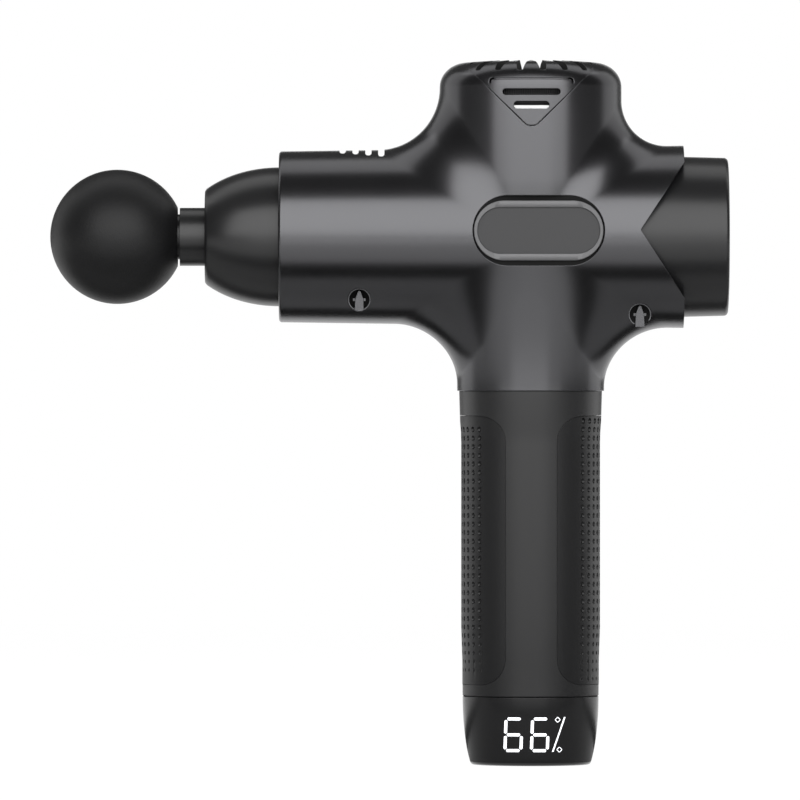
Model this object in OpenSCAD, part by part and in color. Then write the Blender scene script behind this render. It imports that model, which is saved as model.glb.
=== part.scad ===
// Cordless percussion massage gun: a T-shaped body of two half shells, a foam ball head on a
// sliding plunger, an upright motor in the top bulge and a battery handle.
// The barrel axis runs along X with the ball towards -X, and the handle stands on Z = 0.

/* [Housing] */
// Height of the barrel axis above the top of the battery stack
axis_rise = 22.7; // [22.4:0.1:28]
// Barrel radius at its front edge
barrel_front_r = 29.9; // [29:0.1:31.5]
// Barrel radius at its rear edge
barrel_rear_r = 31.9; // [31:0.1:33.5]
// Length of the barrel ahead of the handle axis
barrel_front_len = 88; // [86:0.5:94]
// Length of the barrel behind the handle axis
barrel_rear_len = 53.4; // [52:0.2:58]
// Radius of the motor bulge
bulge_r = 31.8; // [31:0.1:33.5]
// Height of the bulge above the barrel axis
bulge_h = 61.9; // [60.5:0.1:66]
// Radius of the bulge's rounded top edge
bulge_edge_r = 9.5; // [8:0.1:11]
// Radius of the skirt above the handle
skirt_r = 25.7; // [25.5:0.1:27]
// Drop from the barrel axis to the skirt's lower edge
skirt_drop = 53.9; // [53:0.1:56]
// Wall of the moulded shells
shell_wall = 2.4; // [1.8:0.1:2.8]
// Concave radius between barrel and bulge, front
crotch_front_top = 21.5; // [16:0.5:21.5]
// Concave radius between barrel and bulge, rear
crotch_rear_top = 16; // [12:0.5:19]
// Concave radius between barrel and skirt, front
crotch_front_low = 20.3; // [14:0.5:21]
// Concave radius between barrel and skirt, rear
crotch_rear_low = 21; // [14:0.5:21]
// Depth of the V-shaped notch in the rear edge
rear_notch_depth = 15.5; // [12:0.5:17]
// Height of the V-shaped notch
rear_notch_h = 47.4; // [42:0.2:50]
// Radius of the small round on moulded rims
rim_r = 1; // [0.5:0.1:1.5]

/* [Handle] */
// Radius of the handle where the hand grips it
handle_r = 24.3; // [24:0.1:25]
// Height of the display cap at the foot
base_cap_h = 24.1; // [22:0.1:26]
// Radius of the foot at the table
foot_r = 20.7; // [20:0.1:22]
// Thickness of the rubber grips
grip_t = 1.4; // [1:0.1:1.6]
// Half width of the bare strip between the grips
grip_strip = 9; // [7:0.2:12]

/* [Head and nose] */
// Diameter of the foam ball
ball_d = 47; // [44:0.5:48]
// Distance from the handle axis to the ball's centre
ball_reach = 144.6; // [144:0.2:150]
// Radius of the head's stem
stem_r = 10.15; // [9.5:0.05:10.4]
// Radius of the nose cone where it meets the barrel
nose_r = 24.3; // [23.5:0.1:25.5]
// Length of the nose cone ahead of the barrel
nose_len = 25.9; // [24:0.1:27]
// Radius of the nose cone's front rim
nose_rim_r = 16.4; // [15.6:0.1:18]
// Travel of the plunger from end to end
stroke = 12; // [8:0.5:12]

/* [Rear cap] */
// Step in from the barrel's rear edge to the rear cap
cap_step = 3.9; // [3.5:0.1:4.9]
// Length of the rear cap behind the barrel
cap_len = 15.6; // [13:0.2:18]
// Width of the rear cap's rim around the round control panel
panel_rim = 4.6; // [4:0.1:7]
// Radius of the power button
button_r = 7; // [5:0.1:7.5]
// Travel of the buttons
button_travel = 0.8; // [0.4:0.1:0.9]

/* [Drive] */
// Radius of the motor bell
bell_r = 25; // [24:0.1:26.5]
// Radius of the plunger sleeve
sleeve_r = 12.5; // [12:0.1:12.8]
// Radius of the plunger rod
rod_r = 5; // [4.5:0.1:5.2]
// Radius of the crank roller
roller_r = 5; // [4.5:0.1:5.4]
// Radius of the motor shaft
shaft_r = 2.5; // [2:0.1:2.8]
// Radius of a battery cell
cell_r = 9.2; // [9:0.05:9.25]
// Length of a battery cell
cell_len = 65.2; // [64:0.1:65.6]

/* [Hidden] */
fit = 0.15;            // gap between pieces that seat on each other
run = 0.04;            // running clearance of shafts and rods
tiny = 0.01;
seam = 0.02;
rim_steps = 3;
louvre_pitch = 4.5;
fine = 96;
bore_fine = 48;

// Battery stack
holder_h = 4;
lap_h = 5;
stack_z = base_cap_h + lap_h + 0.4;
cells_z = stack_z + 1.6;
cells_top = cells_z + 2 * cell_len + 0.4;
strap_t = 0.3;
strap_w = 6;

// Housing places
axis_h = cells_top + axis_rise;
front_x = -barrel_front_len;
rear_x = barrel_rear_len;
bulge_top = axis_h + bulge_h;
dome_z = bulge_top - bulge_edge_r;
skirt_z = axis_h - skirt_drop;
bulge_crown = 1;
notch_mid_z = axis_h + 2;
barrel_span = barrel_front_len + barrel_rear_len;
collar_wall = 3.6;
notch_lap = 4;

// Angles and stations of the housing's skin
skin_turns = 9;
skin_straights = 4;
skin_fan = 24;
lining_turns = 6;
lining_straights = 2;
lining_fan = 16;

// Handle places
handle_top_z = skirt_z - 0.3;
handle_neck_r = handle_r + 0.7;
neck_h = 10;
holder_r = cell_r * (1 + 2 / sqrt(3)) + 1;
handle_bore_r = holder_r + fit;
cell_ring_r = cell_r * 2 / sqrt(3) + run;
grip_top_z = skirt_z - 8.5;
grip_low_z = base_cap_h + 4;
grip_slant = 6;
grip_corner_r = 9;

// Nose and plunger
nose_depth = nose_len / sqrt(1 - pow(nose_rim_r / nose_r, 2));
nose_x = front_x - nose_len;
nose_wall = 2.6;
mouth_r = stem_r + 1.05;
throw = stroke / 2;
socket_r = stem_r + 0.05;
seal_t = 2.8;
sleeve_front = nose_x + nose_wall + seal_t + throw + 1.4;
socket_len = 24.6;
socket_end = sleeve_front + socket_len;
stem_end = socket_end - 0.4;
sleeve_rear = sleeve_front + 43.2;
bush_r = sleeve_r + 1.5;
guide_r = bush_r + 2.2;
bush_x = sleeve_front + throw + 0.8;
bush_len = 32;
guide_rear = -40;
flange_x = front_x + shell_wall;
flange_t = 3;
flange_r = 22;
front_hole_r = guide_r + 3;
ball_x = -ball_reach;
ball_r = ball_d / 2;
stem_core_r = 7.9;
stem_shoulder = ball_x + ball_r - 0.9;

// Crank and yoke
// A sine motion strays from an even one by at most this share of the throw
sine_stray = 0.2106;
slot_half_x = roller_r + sine_stray * throw + 0.1;
slot_half_y = throw + roller_r + 0.4;
yoke_wall = 4;
yoke_half_h = 6;
tail_r = 4;
tail_reach = 5;
crank_gap = 1;
crank_z = axis_h + yoke_half_h + crank_gap;
crank_t = 5.4;
crank_r = 13;
weight_r = 20;
pin_r = 2.5;

// Badge
badge_x = 2.5;
badge_z = axis_h + 1.8;
badge_w = 46;
badge_h = 24.4;
badge_floor_y = bulge_r - 3.2;
bezel_w = 45;
bezel_h = 21;
bezel_t = 2;
plate_w = 42.5;
plate_oval_h = 16.4;
plate_t = 0.9;

// Drive frame
frame_top_z = axis_h + 14.4;
frame_t = 3.5;
front_wall_x = -46;
front_wall_t = 6;
rear_wall_x = max(badge_x + badge_w / 2 + shell_wall, bell_r + 2.9) + 0.6;
rear_wall_t = 4;
tail_bush_r = 6.5;
frame_bar_w = 30;

// Motor
motor_z = frame_top_z + frame_t;
hub_r = 7.5;
bearing_r = 5.5;
bearing_t = 4;
hub_top = motor_z + 19.5;
stator_z = motor_z + 4.5;
stator_t = 14;
magnet_t = 1.6;
bell_wall = 2;
stator_r = bell_r - bell_wall - magnet_t - 0.5;
bell_z = stator_z - 1;
bell_top = hub_top + 3.2;
slots = 12;
fan_z = bell_top + 0.3;
fan_t = 7;
blades = 11;

// Rear cap and panel
cap_r = barrel_rear_r - cap_step;
panel_r = cap_r - panel_rim;
cap_x = rear_x + cap_len;
cap_wall = 2;
panel_t = 1.6;
board_t = 1.6;
cap_floor_x = cap_x - panel_t - 2;
board_x = cap_floor_x - 6;
key_r = 4;
key_z = 14.5;
drive_board_x = rear_wall_x + rear_wall_t + tail_reach + throw + 1.5;
post_r = 2.4;
post_y = 13.5;

// Screws that join the shells, on the barrel's lower flank
screw_places = [[-59.9, axis_h - 22.1], [38, axis_h - 27.3]];
boss_r = 5;
screw_sink_r = 4;
screw_head_r = 3.6;
screw_head_t = 2.4;
screw_shank_r = 1.6;
screw_head_y = -10;
screw_len = 18;

// Top vent
vent_tip_z = bulge_top - 23.9;
vent_half_w = 21.3;
vent_corner_z = bulge_top - 4.5;
vent_tip_r = 5;
vent_wall = 2.4;
tooth_pitch = 4.2;
tooth_gap = 2;
tooth_depth = 2.8;
teeth = 11;

// Foot
cap_wall_t = 2;
plate_h = 3;
digit_h = 12.6;
digit_w = 6.9;
digit_t = 1.3;
digit_z = 10.6;
digit_skin = 0.5;
display_half_w = 9.5;
display_y = sqrt(pow(foot_r - cap_wall_t - 0.4, 2) - pow(display_half_w, 2));
jack_x = -9.5;
jack_mouth_r = 4;
jack_bore_r = 2.85;
jack_len = 11;
switch_x = 7;
switch_w = 8;
switch_l = 13;
switch_tilt = 7;

// ---- Shared forms ----

function mix(a, b, t) = a + (b - a) * t;
function clamp01(t) = min(1, max(0, t));
function smooth(t) = let(u = clamp01(t)) u * u * (3 - 2 * u);

// Turned piece about the barrel axis: points are [x, radius]
module turned_x(points, sides = fine) {
    translate([0, 0, axis_h]) rotate([0, 90, 0]) rotate([0, 0, 180]) rotate_extrude($fn = sides)
        polygon([for (p = points) [p[1], p[0]]]);
}

// Ring or disc about an axis parallel to X
module disc_x(x, len, r, bore = 0, y = 0, z = axis_h, sides = bore_fine) {
    translate([x, y, z]) rotate([0, 90, 0]) difference() {
        cylinder(r = r, h = len, $fn = sides);
        if (bore > 0) translate([0, 0, -1]) cylinder(r = bore, h = len + 2, $fn = sides);
    }
}

// Ring or disc about Z
module disc_z(z, len, r, bore = 0, x = 0, y = 0, sides = bore_fine) {
    translate([x, y, z]) difference() {
        cylinder(r = r, h = len, $fn = sides);
        if (bore > 0) translate([0, 0, -1]) cylinder(r = bore, h = len + 2, $fn = sides);
    }
}

// Flat outline in X and Z pushed through along Y
module through_y(y0, y1) {
    translate([0, y1, 0]) rotate([90, 0, 0]) linear_extrude(y1 - y0) children();
}

// ---- Housing form ----
// Barrel and column are joined by a rolling-ball fillet, whose radius blends from corner to corner

function barrel_r(x) =
    let(r = mix(barrel_front_r, barrel_rear_r, (x - front_x) / barrel_span),
        d = clamp01((x - front_x) / rim_r))
    r - rim_r + rim_r * sqrt(1 - pow(1 - d, 2));
function column_r(z) = mix(skirt_r, bulge_r, smooth((z - skirt_z) / (axis_h + 20 - skirt_z)));
function crotch_r(x, z) =
    let(wx = smooth((x + 10) / 20), wz = smooth((z - axis_h + 10) / 20))
    mix(mix(crotch_front_low, crotch_rear_low, wx), mix(crotch_front_top, crotch_rear_top, wx), wz);

// Signed distance from the skin, positive outside, grown inwards by inset
function skin_gap(p, inset) =
    let(rb = norm([p[1], p[2] - axis_h]), rc = norm([p[0], p[1]]),
        k = crotch_r(p[0], p[2]) + inset,
        a = rb - barrel_r(p[0]) + inset - k,
        b = rc - column_r(p[2]) + inset - k,
        g = min(0.98, p[1] * p[1] / max(1, rb * rc)))
    (a < g * b && b < g * a)
        ? k - sqrt((a * a + b * b - 2 * g * a * b) / (1 - g * g))
        : min(a, b) + k;
function skin_reach(q, d, inset, low = 5, high = 90, steps = 36) =
    steps == 0 ? (low + high) / 2
    : let(m = (low + high) / 2)
      skin_gap(q + m * d, inset) < 0 ? skin_reach(q, d, inset, m, high, steps - 1)
                                     : skin_reach(q, d, inset, low, m, steps - 1);

// Stations along one arm: [distance from the crossing, lean of the ray towards the crotch]
function arm_stations(len, turn_len, turns, straights) = concat(
    len - turn_len > 4
        ? concat([for (i = [0 : rim_steps - 1]) [len - rim_r * (1 - cos(90 * i / rim_steps)), 0]],
                 [for (i = [1 : straights]) [mix(len - rim_r, turn_len, i / (straights + 1)), 0]])
        : len > turn_len ? [[len, 0]] : [],
    [for (i = [0 : turns - 1]) let(t = 1 - i / turns) [min(len, turn_len) * t, 45 * (1 - t)]]);

// One quarter of the housing: the corner between the arm along sx and the arm along sz
module corner_form(sx, sz, len_x, len_z, inset, turns, straights, fan) {
    arm_x = arm_stations(len_x, 54.5, turns, straights);
    arm_z = arm_stations(len_z, 54.5, turns, straights);
    crossing = [0, 0, axis_h];
    rays = concat(
        [for (s = arm_x) [crossing + [sx * s[0], 0, 0], [-sx * -sin(s[1]), 0, sz * cos(s[1])]]],
        [[crossing, [sx * sqrt(0.5), 0, sz * sqrt(0.5)]]],
        [for (i = [len(arm_z) - 1 : -1 : 0]) let(s = arm_z[i])
            [crossing + [0, 0, sz * s[0]], [sx * cos(s[1]), 0, sz * sin(s[1])]]]);
    n = len(rays);
    middle = len(arm_x);
    skin = [for (ray = rays) for (j = [0 : fan])
        let(w = -90 + 180 * j / fan,
            d = cos(w) * ray[1] + [0, sin(w), 0])
        ray[0] + skin_reach(ray[0], d, inset) * d];
    side_x = [for (i = [0 : middle]) i * (fan + 1)];
    side_z = [for (i = [middle : n - 1]) i * (fan + 1)];
    outward = sx * sz < 0;
    faces = concat(
        [for (i = [0 : n - 2]) for (j = [0 : fan - 1]) let(v = i * (fan + 1) + j)
            each [[v, v + 1, v + fan + 2], [v, v + fan + 2, v + fan + 1]]],
        [concat([for (j = [fan : -1 : 0]) j])],
        [[for (j = [0 : fan]) (n - 1) * (fan + 1) + j]],
        [concat([for (v = side_x) v], [for (i = [middle : -1 : 0]) side_x[i] + fan])],
        [concat([for (v = side_z) v], [for (i = [n - 1 - middle : -1 : 0]) side_z[i] + fan])]);
    polyhedron(skin, outward ? faces : [for (f = faces) [for (i = [len(f) - 1 : -1 : 0]) f[i]]],
        convexity = 6);
}

// The closed T-shaped form, shrunk by inset, with its front, rear and lower ends at the given places
module housing_form(inset, x0, x1, z0, turns, straights, fan) {
    top_len = dome_z - axis_h;
    for (sx = [-1, 1], sz = [-1, 1])
        corner_form(sx, sz, sx < 0 ? -x0 : x1, sz < 0 ? axis_h - z0 : top_len, inset, turns,
            straights, fan);
    dome_form(inset, fan);
}

// Rounded crown of the bulge, let a hair into the column below it so that the two make one skin
module dome_form(inset, fan) {
    edge = bulge_edge_r - inset;
    rotate_extrude($fn = 2 * fan) polygon(concat([[0, dome_z - 1], [bulge_r - inset - seam, dome_z - 1]],
        [for (i = [0 : 6]) [bulge_r - bulge_edge_r - seam + edge * cos(15 * i),
            dome_z + (edge - bulge_crown) * sin(15 * i)]],
        [[0, dome_z + edge]]));
}

module outer_form() {
    housing_form(0, front_x, rear_x, skirt_z, skin_turns, skin_straights, skin_fan);
}

module lining_form() {
    housing_form(shell_wall, front_x + shell_wall, rear_x + 2, skirt_z - 2, lining_turns,
        lining_straights, lining_fan);
}

// V-shaped outline that cuts the rear edge, moved forward by lap
module notch_outline(lap) {
    tip = rear_x - rear_notch_depth - lap;
    reach = rear_notch_depth + 10;
    half = reach * rear_notch_h / 2 / rear_notch_depth;
    polygon([[tip, notch_mid_z], [tip + reach, notch_mid_z + half], [tip + reach, notch_mid_z - half]]);
}

// Outline of the top vent insert: a V with a rounded tip that widens up to the crown
module vent_outline(gap = 0) {
    tip_z = vent_tip_z + vent_tip_r;
    offset(delta = -gap) hull() {
        translate([0, tip_z]) circle(r = vent_tip_r, $fn = 32);
        translate([-vent_half_w, vent_corner_z]) square([2 * vent_half_w, 20]);
    }
}

// Upright oval with straight top and bottom, at the badge's place
module badge_oval(w, h) {
    translate([badge_x, badge_z]) hull() for (s = [-1, 1])
        translate([s * (w - h) / 2, 0]) circle(r = h / 2, $fn = 40);
}

// What stands inside the cavity: the seat of the rear cap, the screw bosses and the badge backings
module cavity_features() {
    disc_x(rear_x - rear_notch_depth - notch_lap, rear_notch_depth + notch_lap + 10,
        barrel_rear_r + 4, cap_r + fit, sides = 2 * skin_fan);
    for (p = screw_places) translate([p[0], 0, p[1]]) rotate([90, 0, 0])
        cylinder(r = boss_r, h = 90, center = true, $fn = 24);
    for (s = [-1, 1]) face_block(s, badge_floor_y - 2, badge_floor_y) badge_oval(badge_w + 3, badge_h + 3);
}

// Outline pushed through between two depths, measured from the middle plane towards one side
module face_block(side, near, far) {
    through_y(min(side * near, side * far), max(side * near, side * far)) children();
}

// Both shells as one piece, before they are parted at Y = 0
module housing_body() {
    difference() {
        outer_form();
        difference() {
            lining_form();
            cavity_features();
        }
        disc_x(front_x - 1, shell_wall + 2, front_hole_r);
        through_y(-60, 60) notch_outline(0);
        through_y(-60, 60) vent_outline();
        for (s = [-1, 1]) face_block(s, badge_floor_y, 50) badge_oval(badge_w, badge_h);
        for (p = screw_places) translate([p[0], 0, p[1]]) rotate([90, 0, 0]) {
            translate([0, 0, -screw_head_y - screw_head_t]) cylinder(r = screw_sink_r, h = 50, $fn = 32);
            translate([0, 0, screw_head_y]) cylinder(r = screw_shank_r + fit, h = 30, $fn = 24);
        }
        for (i = [-1.5 : 1 : 1.5]) translate([-59 + i * louvre_pitch, 0, axis_h + 30])
            cube([2.1, 26, 5.6], center = true);
    }
}

// ---- Nodes ----

module ball_head() color([0.05, 0.05, 0.05]) difference() {
    translate([ball_x, 0, axis_h]) sphere(r = ball_r, $fn = fine);
    disc_x(ball_x - 6, ball_r + 10, stem_core_r + fit);
    disc_x(stem_shoulder - fit, 10, stem_r + fit);
}

module head_stem() color([0.12, 0.12, 0.12]) turned_x([
    [ball_x - 5.5, 0], [ball_x - 5.5, stem_core_r - 1], [ball_x - 4.5, stem_core_r],
    [stem_shoulder, stem_core_r], [stem_shoulder, stem_r],
    [stem_end - 16.5, stem_r], [stem_end - 16.5, stem_r - 1.2], [stem_end - 14.5, stem_r - 1.2],
    [stem_end - 14.5, stem_r], [stem_end - 8.5, stem_r], [stem_end - 8.5, stem_r - 1.2],
    [stem_end - 6.5, stem_r - 1.2], [stem_end - 6.5, stem_r], [stem_end - 1.5, stem_r],
    [stem_end, stem_r - 1.5], [stem_end, 0]]);

module stem_o_rings() color([0.02, 0.02, 0.02]) for (x = [stem_end - 15.5, stem_end - 7.5])
    translate([x, 0, axis_h]) rotate([0, 90, 0]) rotate_extrude($fn = bore_fine)
        translate([stem_r - 0.6, 0]) circle(r = 0.58, $fn = 16);

module nose_cone() {
    steps = 10;
    arc = [for (i = [0 : steps]) let(d = nose_len * (1 - i / steps))
        [front_x - d, nose_r * sqrt(1 - pow(d / nose_depth, 2))]];
    color([0.16, 0.16, 0.16]) turned_x(concat(
        [[nose_x, mouth_r]], [[nose_x, nose_rim_r - 0.6]], [for (i = [1 : steps]) arc[i]],
        [[front_x, front_hole_r - fit], [front_x + shell_wall - fit, front_hole_r - fit],
         [front_x + shell_wall - fit, guide_r + fit], [front_x - 12, guide_r + fit],
         [nose_x + nose_wall + seal_t, nose_rim_r - nose_wall],
         [nose_x + nose_wall, nose_rim_r - nose_wall], [nose_x + nose_wall, mouth_r]]));
}

module nose_seal() color([0.03, 0.03, 0.03])
    disc_x(nose_x + nose_wall + tiny, seal_t - 0.2, nose_rim_r - nose_wall - 0.05, stem_r + 0.1);

module housing_left() color([0.24, 0.24, 0.25]) resize([0, 0, 0]) intersection() {
    housing_body();
    translate([-120, -60, 0]) cube([240, 60, 300]);
}

module housing_right() color([0.24, 0.24, 0.25]) resize([0, 0, 0]) intersection() {
    housing_body();
    translate([-120, 0, 0]) cube([240, 60, 300]);
}

// side is -1 for the left shell and 1 for the right one
module bezel(side) {
    face_block(side, badge_floor_y + tiny, badge_floor_y + bezel_t) difference() {
        badge_oval(bezel_w, bezel_h);
        badge_oval(plate_w, plate_oval_h);
    }
}

module badge(side) {
    face_block(side, badge_floor_y + tiny, badge_floor_y + plate_t)
        badge_oval(plate_w - 0.1, plate_oval_h - 0.1);
}

module left_bezel() color([0.42, 0.42, 0.43]) bezel(-1);

module left_badge() color([0.3, 0.3, 0.31]) badge(-1);

module right_bezel() color([0.42, 0.42, 0.43]) bezel(1);

module right_badge() color([0.3, 0.3, 0.31]) badge(1);

// Bulge skin inside the V outline, with louvre slots on both faces and teeth across the crown
module top_vent_cover() color([0.14, 0.14, 0.15]) resize([0, 0, 0]) difference() {
    intersection() {
        difference() {
            bulge_plug(0);
            bulge_plug(vent_wall);
        }
        through_y(-60, 60) vent_outline(fit);
    }
    for (i = [0 : teeth - 2])
        translate([(i - (teeth - 2) / 2) * tooth_pitch - tooth_gap / 2, -26, bulge_top - tooth_depth])
            cube([tooth_gap, 52, 10]);
    through_y(-60, 60) {
        translate([0, bulge_top - 7]) square([27, 1.1], center = true);
        translate([0, bulge_top - 12.2]) square([21, 2.2], center = true);
        translate([0, bulge_top - 16.4]) square([13, 2.4], center = true);
    }
}

// The bulge as a plain turned form, shrunk by inset
module bulge_plug(inset) {
    edge = bulge_edge_r - inset;
    rotate_extrude($fn = 2 * skin_fan) polygon(concat([[0, axis_h], [bulge_r - inset, axis_h]],
        [for (i = [0 : 6]) [bulge_r - bulge_edge_r + edge * cos(15 * i),
            dome_z + (edge - bulge_crown) * sin(15 * i)]],
        [[0, dome_z + edge]]));
}

module vent_mesh() color([0.5, 0.5, 0.5]) intersection() {
    disc_z(vent_tip_z + 4, dome_z - 0.3 - vent_tip_z - 4, bulge_r - vent_wall - fit, bulge_r - vent_wall - 1);
    cube([25, 200, 600], center = true);
}

module housing_screws() color([0.6, 0.6, 0.62]) for (p = screw_places)
    translate([p[0], screw_head_y, p[1]]) rotate([90, 0, 0]) difference() {
        union() {
            translate([0, 0, tiny]) cylinder(r = screw_head_r, h = screw_head_t, $fn = 32);
            translate([0, 0, -screw_len]) cylinder(r = screw_shank_r, h = screw_len + 1, $fn = 24);
        }
        translate([0, 0, screw_head_t - 1.2]) {
            cube([4.4, 0.9, 4], center = true);
            cube([0.9, 4.4, 4], center = true);
        }
    }

module rear_cap() color([0.15, 0.15, 0.15]) difference() {
    turned_x([[rear_x - rear_notch_depth - notch_lap + 1, cap_r], [cap_x - rim_r, cap_r - 0.4],
        [cap_x, cap_r - 0.4 - rim_r], [cap_x, panel_r + 0.2], [cap_floor_x + 2, panel_r + 0.2],
        [cap_floor_x + 2, 0], [cap_floor_x, 0], [cap_floor_x, cap_r - cap_wall - 0.4],
        [rear_x - rear_notch_depth - notch_lap + 1, cap_r - cap_wall]]);
    difference() {
        translate([0, -60, axis_h - 60]) cube([rear_x - 1, 120, 120]);
        through_y(-61, 61) notch_outline(notch_lap);
    }
    disc_x(cap_floor_x - 1, 5, button_r + fit, z = axis_h);
    for (s = [-1, 1]) disc_x(cap_floor_x - 1, 5, key_r + fit, z = axis_h + s * key_z);
    for (a = [150 : 15 : 210]) rotate_light(a) cylinder(r = 1 + fit, h = 5, center = true, $fn = 24);
}

// Places a child on the ring of level lights, at angle a
module rotate_light(a) {
    translate([cap_floor_x + 1, 16 * cos(a), axis_h + 16 * sin(a)]) rotate([0, 90, 0]) children();
}

module control_panel() color([0.04, 0.04, 0.05]) difference() {
    disc_x(cap_floor_x + 2 + tiny, panel_t - tiny, panel_r, sides = fine);
    disc_x(cap_floor_x, 5, button_r + fit);
    for (s = [-1, 1]) disc_x(cap_floor_x, 5, key_r + fit, z = axis_h + s * key_z);
    for (a = [150 : 15 : 210]) rotate_light(a) cylinder(r = 1 + fit, h = 8, center = true, $fn = 24);
}

// Push button with a retaining flange behind the cap floor and a stem down to its switch
module push_button(r, y, z) {
    disc_x(cap_floor_x - 0.1, cap_x + 0.6 - cap_floor_x, r, y = y, z = z);
    disc_x(cap_floor_x - 1.1, 1, r + 1, y = y, z = z);
    disc_x(board_x + board_t + 2.5 + button_travel, cap_floor_x - 1 - board_x - board_t - 2.5 - button_travel,
        1.5, y = y, z = z);
}

module power_button() color([0.5, 0.5, 0.52]) push_button(button_r, 0, axis_h);

module plus_key() color([0.3, 0.3, 0.3]) push_button(key_r, 0, axis_h + key_z);

module minus_key() color([0.3, 0.3, 0.3]) push_button(key_r, 0, axis_h - key_z);

module level_lights() color([0.3, 0.8, 0.4]) for (a = [150 : 15 : 210]) rotate_light(a)
    translate([0, 0, -1 - cap_floor_x + board_x + board_t + tiny])
        cylinder(r = 1, h = cap_x - board_x - board_t - 0.2, $fn = 24);

module control_board() color([0.05, 0.3, 0.15]) {
    disc_x(board_x, board_t, cap_r - cap_wall - 0.4 - fit);
    for (z = [-key_z, 0, key_z]) translate([board_x + board_t - tiny, -3, axis_h + z - 3])
        cube([2.5 - fit, 6, 6]);
}

module drive_board() color([0.05, 0.25, 0.12]) {
    translate([drive_board_x + tiny, -17, axis_h - 17]) difference() {
        cube([board_t, 34, 34]);
        translate([-1, 17, 17]) rotate([0, 90, 0]) cylinder(r = 3, h = 5, $fn = 24);
    }
    for (y = [-11 : 4.4 : 11]) translate([drive_board_x + board_t, y - 1.8, axis_h + 4])
        cube([1.5, 3.6, 4]);
    disc_x(drive_board_x + board_t, 6, 4, y = 9, z = axis_h - 9);
}

module drive_frame() color([0.62, 0.63, 0.65]) difference() {
    union() {
        disc_x(front_wall_x, front_wall_t, barrel_r(front_wall_x) - shell_wall - 0.2, sides = fine);
        disc_x(rear_wall_x, rear_wall_t, barrel_r(rear_wall_x) - shell_wall - 0.2, sides = fine);
        translate([front_wall_x, -frame_bar_w / 2, frame_top_z])
            cube([rear_wall_x + rear_wall_t - front_wall_x, frame_bar_w, frame_t]);
        disc_z(frame_top_z, frame_t, bell_r + 2);
        for (s = [-1, 1]) translate([front_wall_x, s * 19 - 1.5, axis_h - 17])
            cube([rear_wall_x + rear_wall_t - front_wall_x, 3, 5]);
        for (s = [-1, 1], t = [-1, 1])
            disc_x(rear_wall_x, drive_board_x - rear_wall_x, post_r, y = s * post_y, z = axis_h + t * post_y);
    }
    disc_x(front_wall_x - 1, front_wall_t + 2, guide_r + run);
    disc_x(rear_wall_x - 1, rear_wall_t + 2, tail_bush_r + run);
    disc_z(frame_top_z - 1, frame_t + 2, shaft_r + 5);
    for (a = [-150, -30, 90]) rotate([0, 0, a]) translate([20, 0, frame_top_z - 1])
        cylinder(r = 3.5, h = frame_t + 2, $fn = 24);
    for (s = [-1, 1]) disc_x(rear_wall_x - 1, rear_wall_t + 2, 4.5, y = s * 20);
    disc_x(rear_wall_x - 1, rear_wall_t + 2, 4.5, z = axis_h - 18);
    for (s = [-1, 1]) disc_x(front_wall_x - 1, front_wall_t + 2, 3, y = s * 21.5);
}

module motor_mount() color([0.7, 0.7, 0.72]) difference() {
    union() {
        disc_z(motor_z + tiny, 3, 14);
        disc_z(motor_z + 2, hub_top - motor_z - 2, hub_r);
    }
    disc_z(motor_z - 1, hub_top - motor_z + 2, bearing_r - 1);
    disc_z(motor_z - 1, bearing_t + 1, bearing_r + tiny);
    disc_z(hub_top - bearing_t, bearing_t + 1, bearing_r + tiny);
}

module motor_stator() color([0.35, 0.35, 0.38]) difference() {
    union() {
        disc_z(stator_z, stator_t, hub_r + 4);
        for (i = [0 : slots - 1]) rotate([0, 0, i * 360 / slots]) {
            translate([hub_r + 2, -1.5, stator_z]) cube([stator_r - hub_r - 3, 3, stator_t]);
            intersection() {
                disc_z(stator_z, stator_t, stator_r, stator_r - 2);
                translate([stator_r - 4, -4, stator_z]) cube([6, 8, stator_t]);
            }
        }
    }
    disc_z(stator_z - 1, stator_t + 2, hub_r + tiny);
}

module motor_windings() color([0.72, 0.4, 0.2]) for (i = [0 : slots - 1])
    rotate([0, 0, i * 360 / slots]) difference() {
        translate([hub_r + 4.3, -2.6, stator_z - 0.8]) cube([stator_r - hub_r - 6.6, 5.2, stator_t + 1.6]);
        translate([hub_r, -1.5 - tiny, stator_z - tiny]) cube([stator_r, 3 + 2 * tiny, stator_t + 2 * tiny]);
    }

module motor_rotor() color([0.55, 0.55, 0.57]) {
    disc_z(bell_z, bell_top - bell_z - 1, bell_r, bell_r - bell_wall);
    disc_z(bell_top - 2, 2, bell_r, bell_r - 4);
    disc_z(bell_top - 2, 2, shaft_r + 4, shaft_r + tiny);
    for (i = [0 : 5]) rotate([0, 0, i * 60]) translate([shaft_r + 3, -2.5, bell_top - 2])
        cube([bell_r - shaft_r - 5, 5, 2]);
}

module rotor_magnets() color([0.3, 0.3, 0.32]) intersection() {
    disc_z(stator_z, stator_t, bell_r - bell_wall - tiny, bell_r - bell_wall - magnet_t);
    for (i = [0 : 13]) rotate([0, 0, i * 360 / 14]) translate([bell_r - 6, -4.4, stator_z])
        cube([8, 8.8, stator_t]);
}

module motor_shaft() color([0.8, 0.8, 0.82])
    disc_z(crank_z + 0.4, fan_z + fan_t - crank_z - 0.4, shaft_r);

module motor_bearings() color([0.78, 0.78, 0.8]) {
    disc_z(motor_z + tiny, bearing_t - 2 * tiny, bearing_r, shaft_r + run);
    disc_z(hub_top - bearing_t + tiny, bearing_t - 2 * tiny, bearing_r, shaft_r + run);
}

module cooling_fan() color([0.1, 0.1, 0.1]) {
    disc_z(fan_z, fan_t, 8, shaft_r + tiny);
    disc_z(fan_z, 1.2, bell_r, 7);
    for (i = [0 : blades - 1]) rotate([0, 0, i * 360 / blades]) translate([7, 0, fan_z + 0.6])
        rotate([0, 0, 14]) cube([bell_r - 9, 1.2, fan_t - 0.6]);
}

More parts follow.
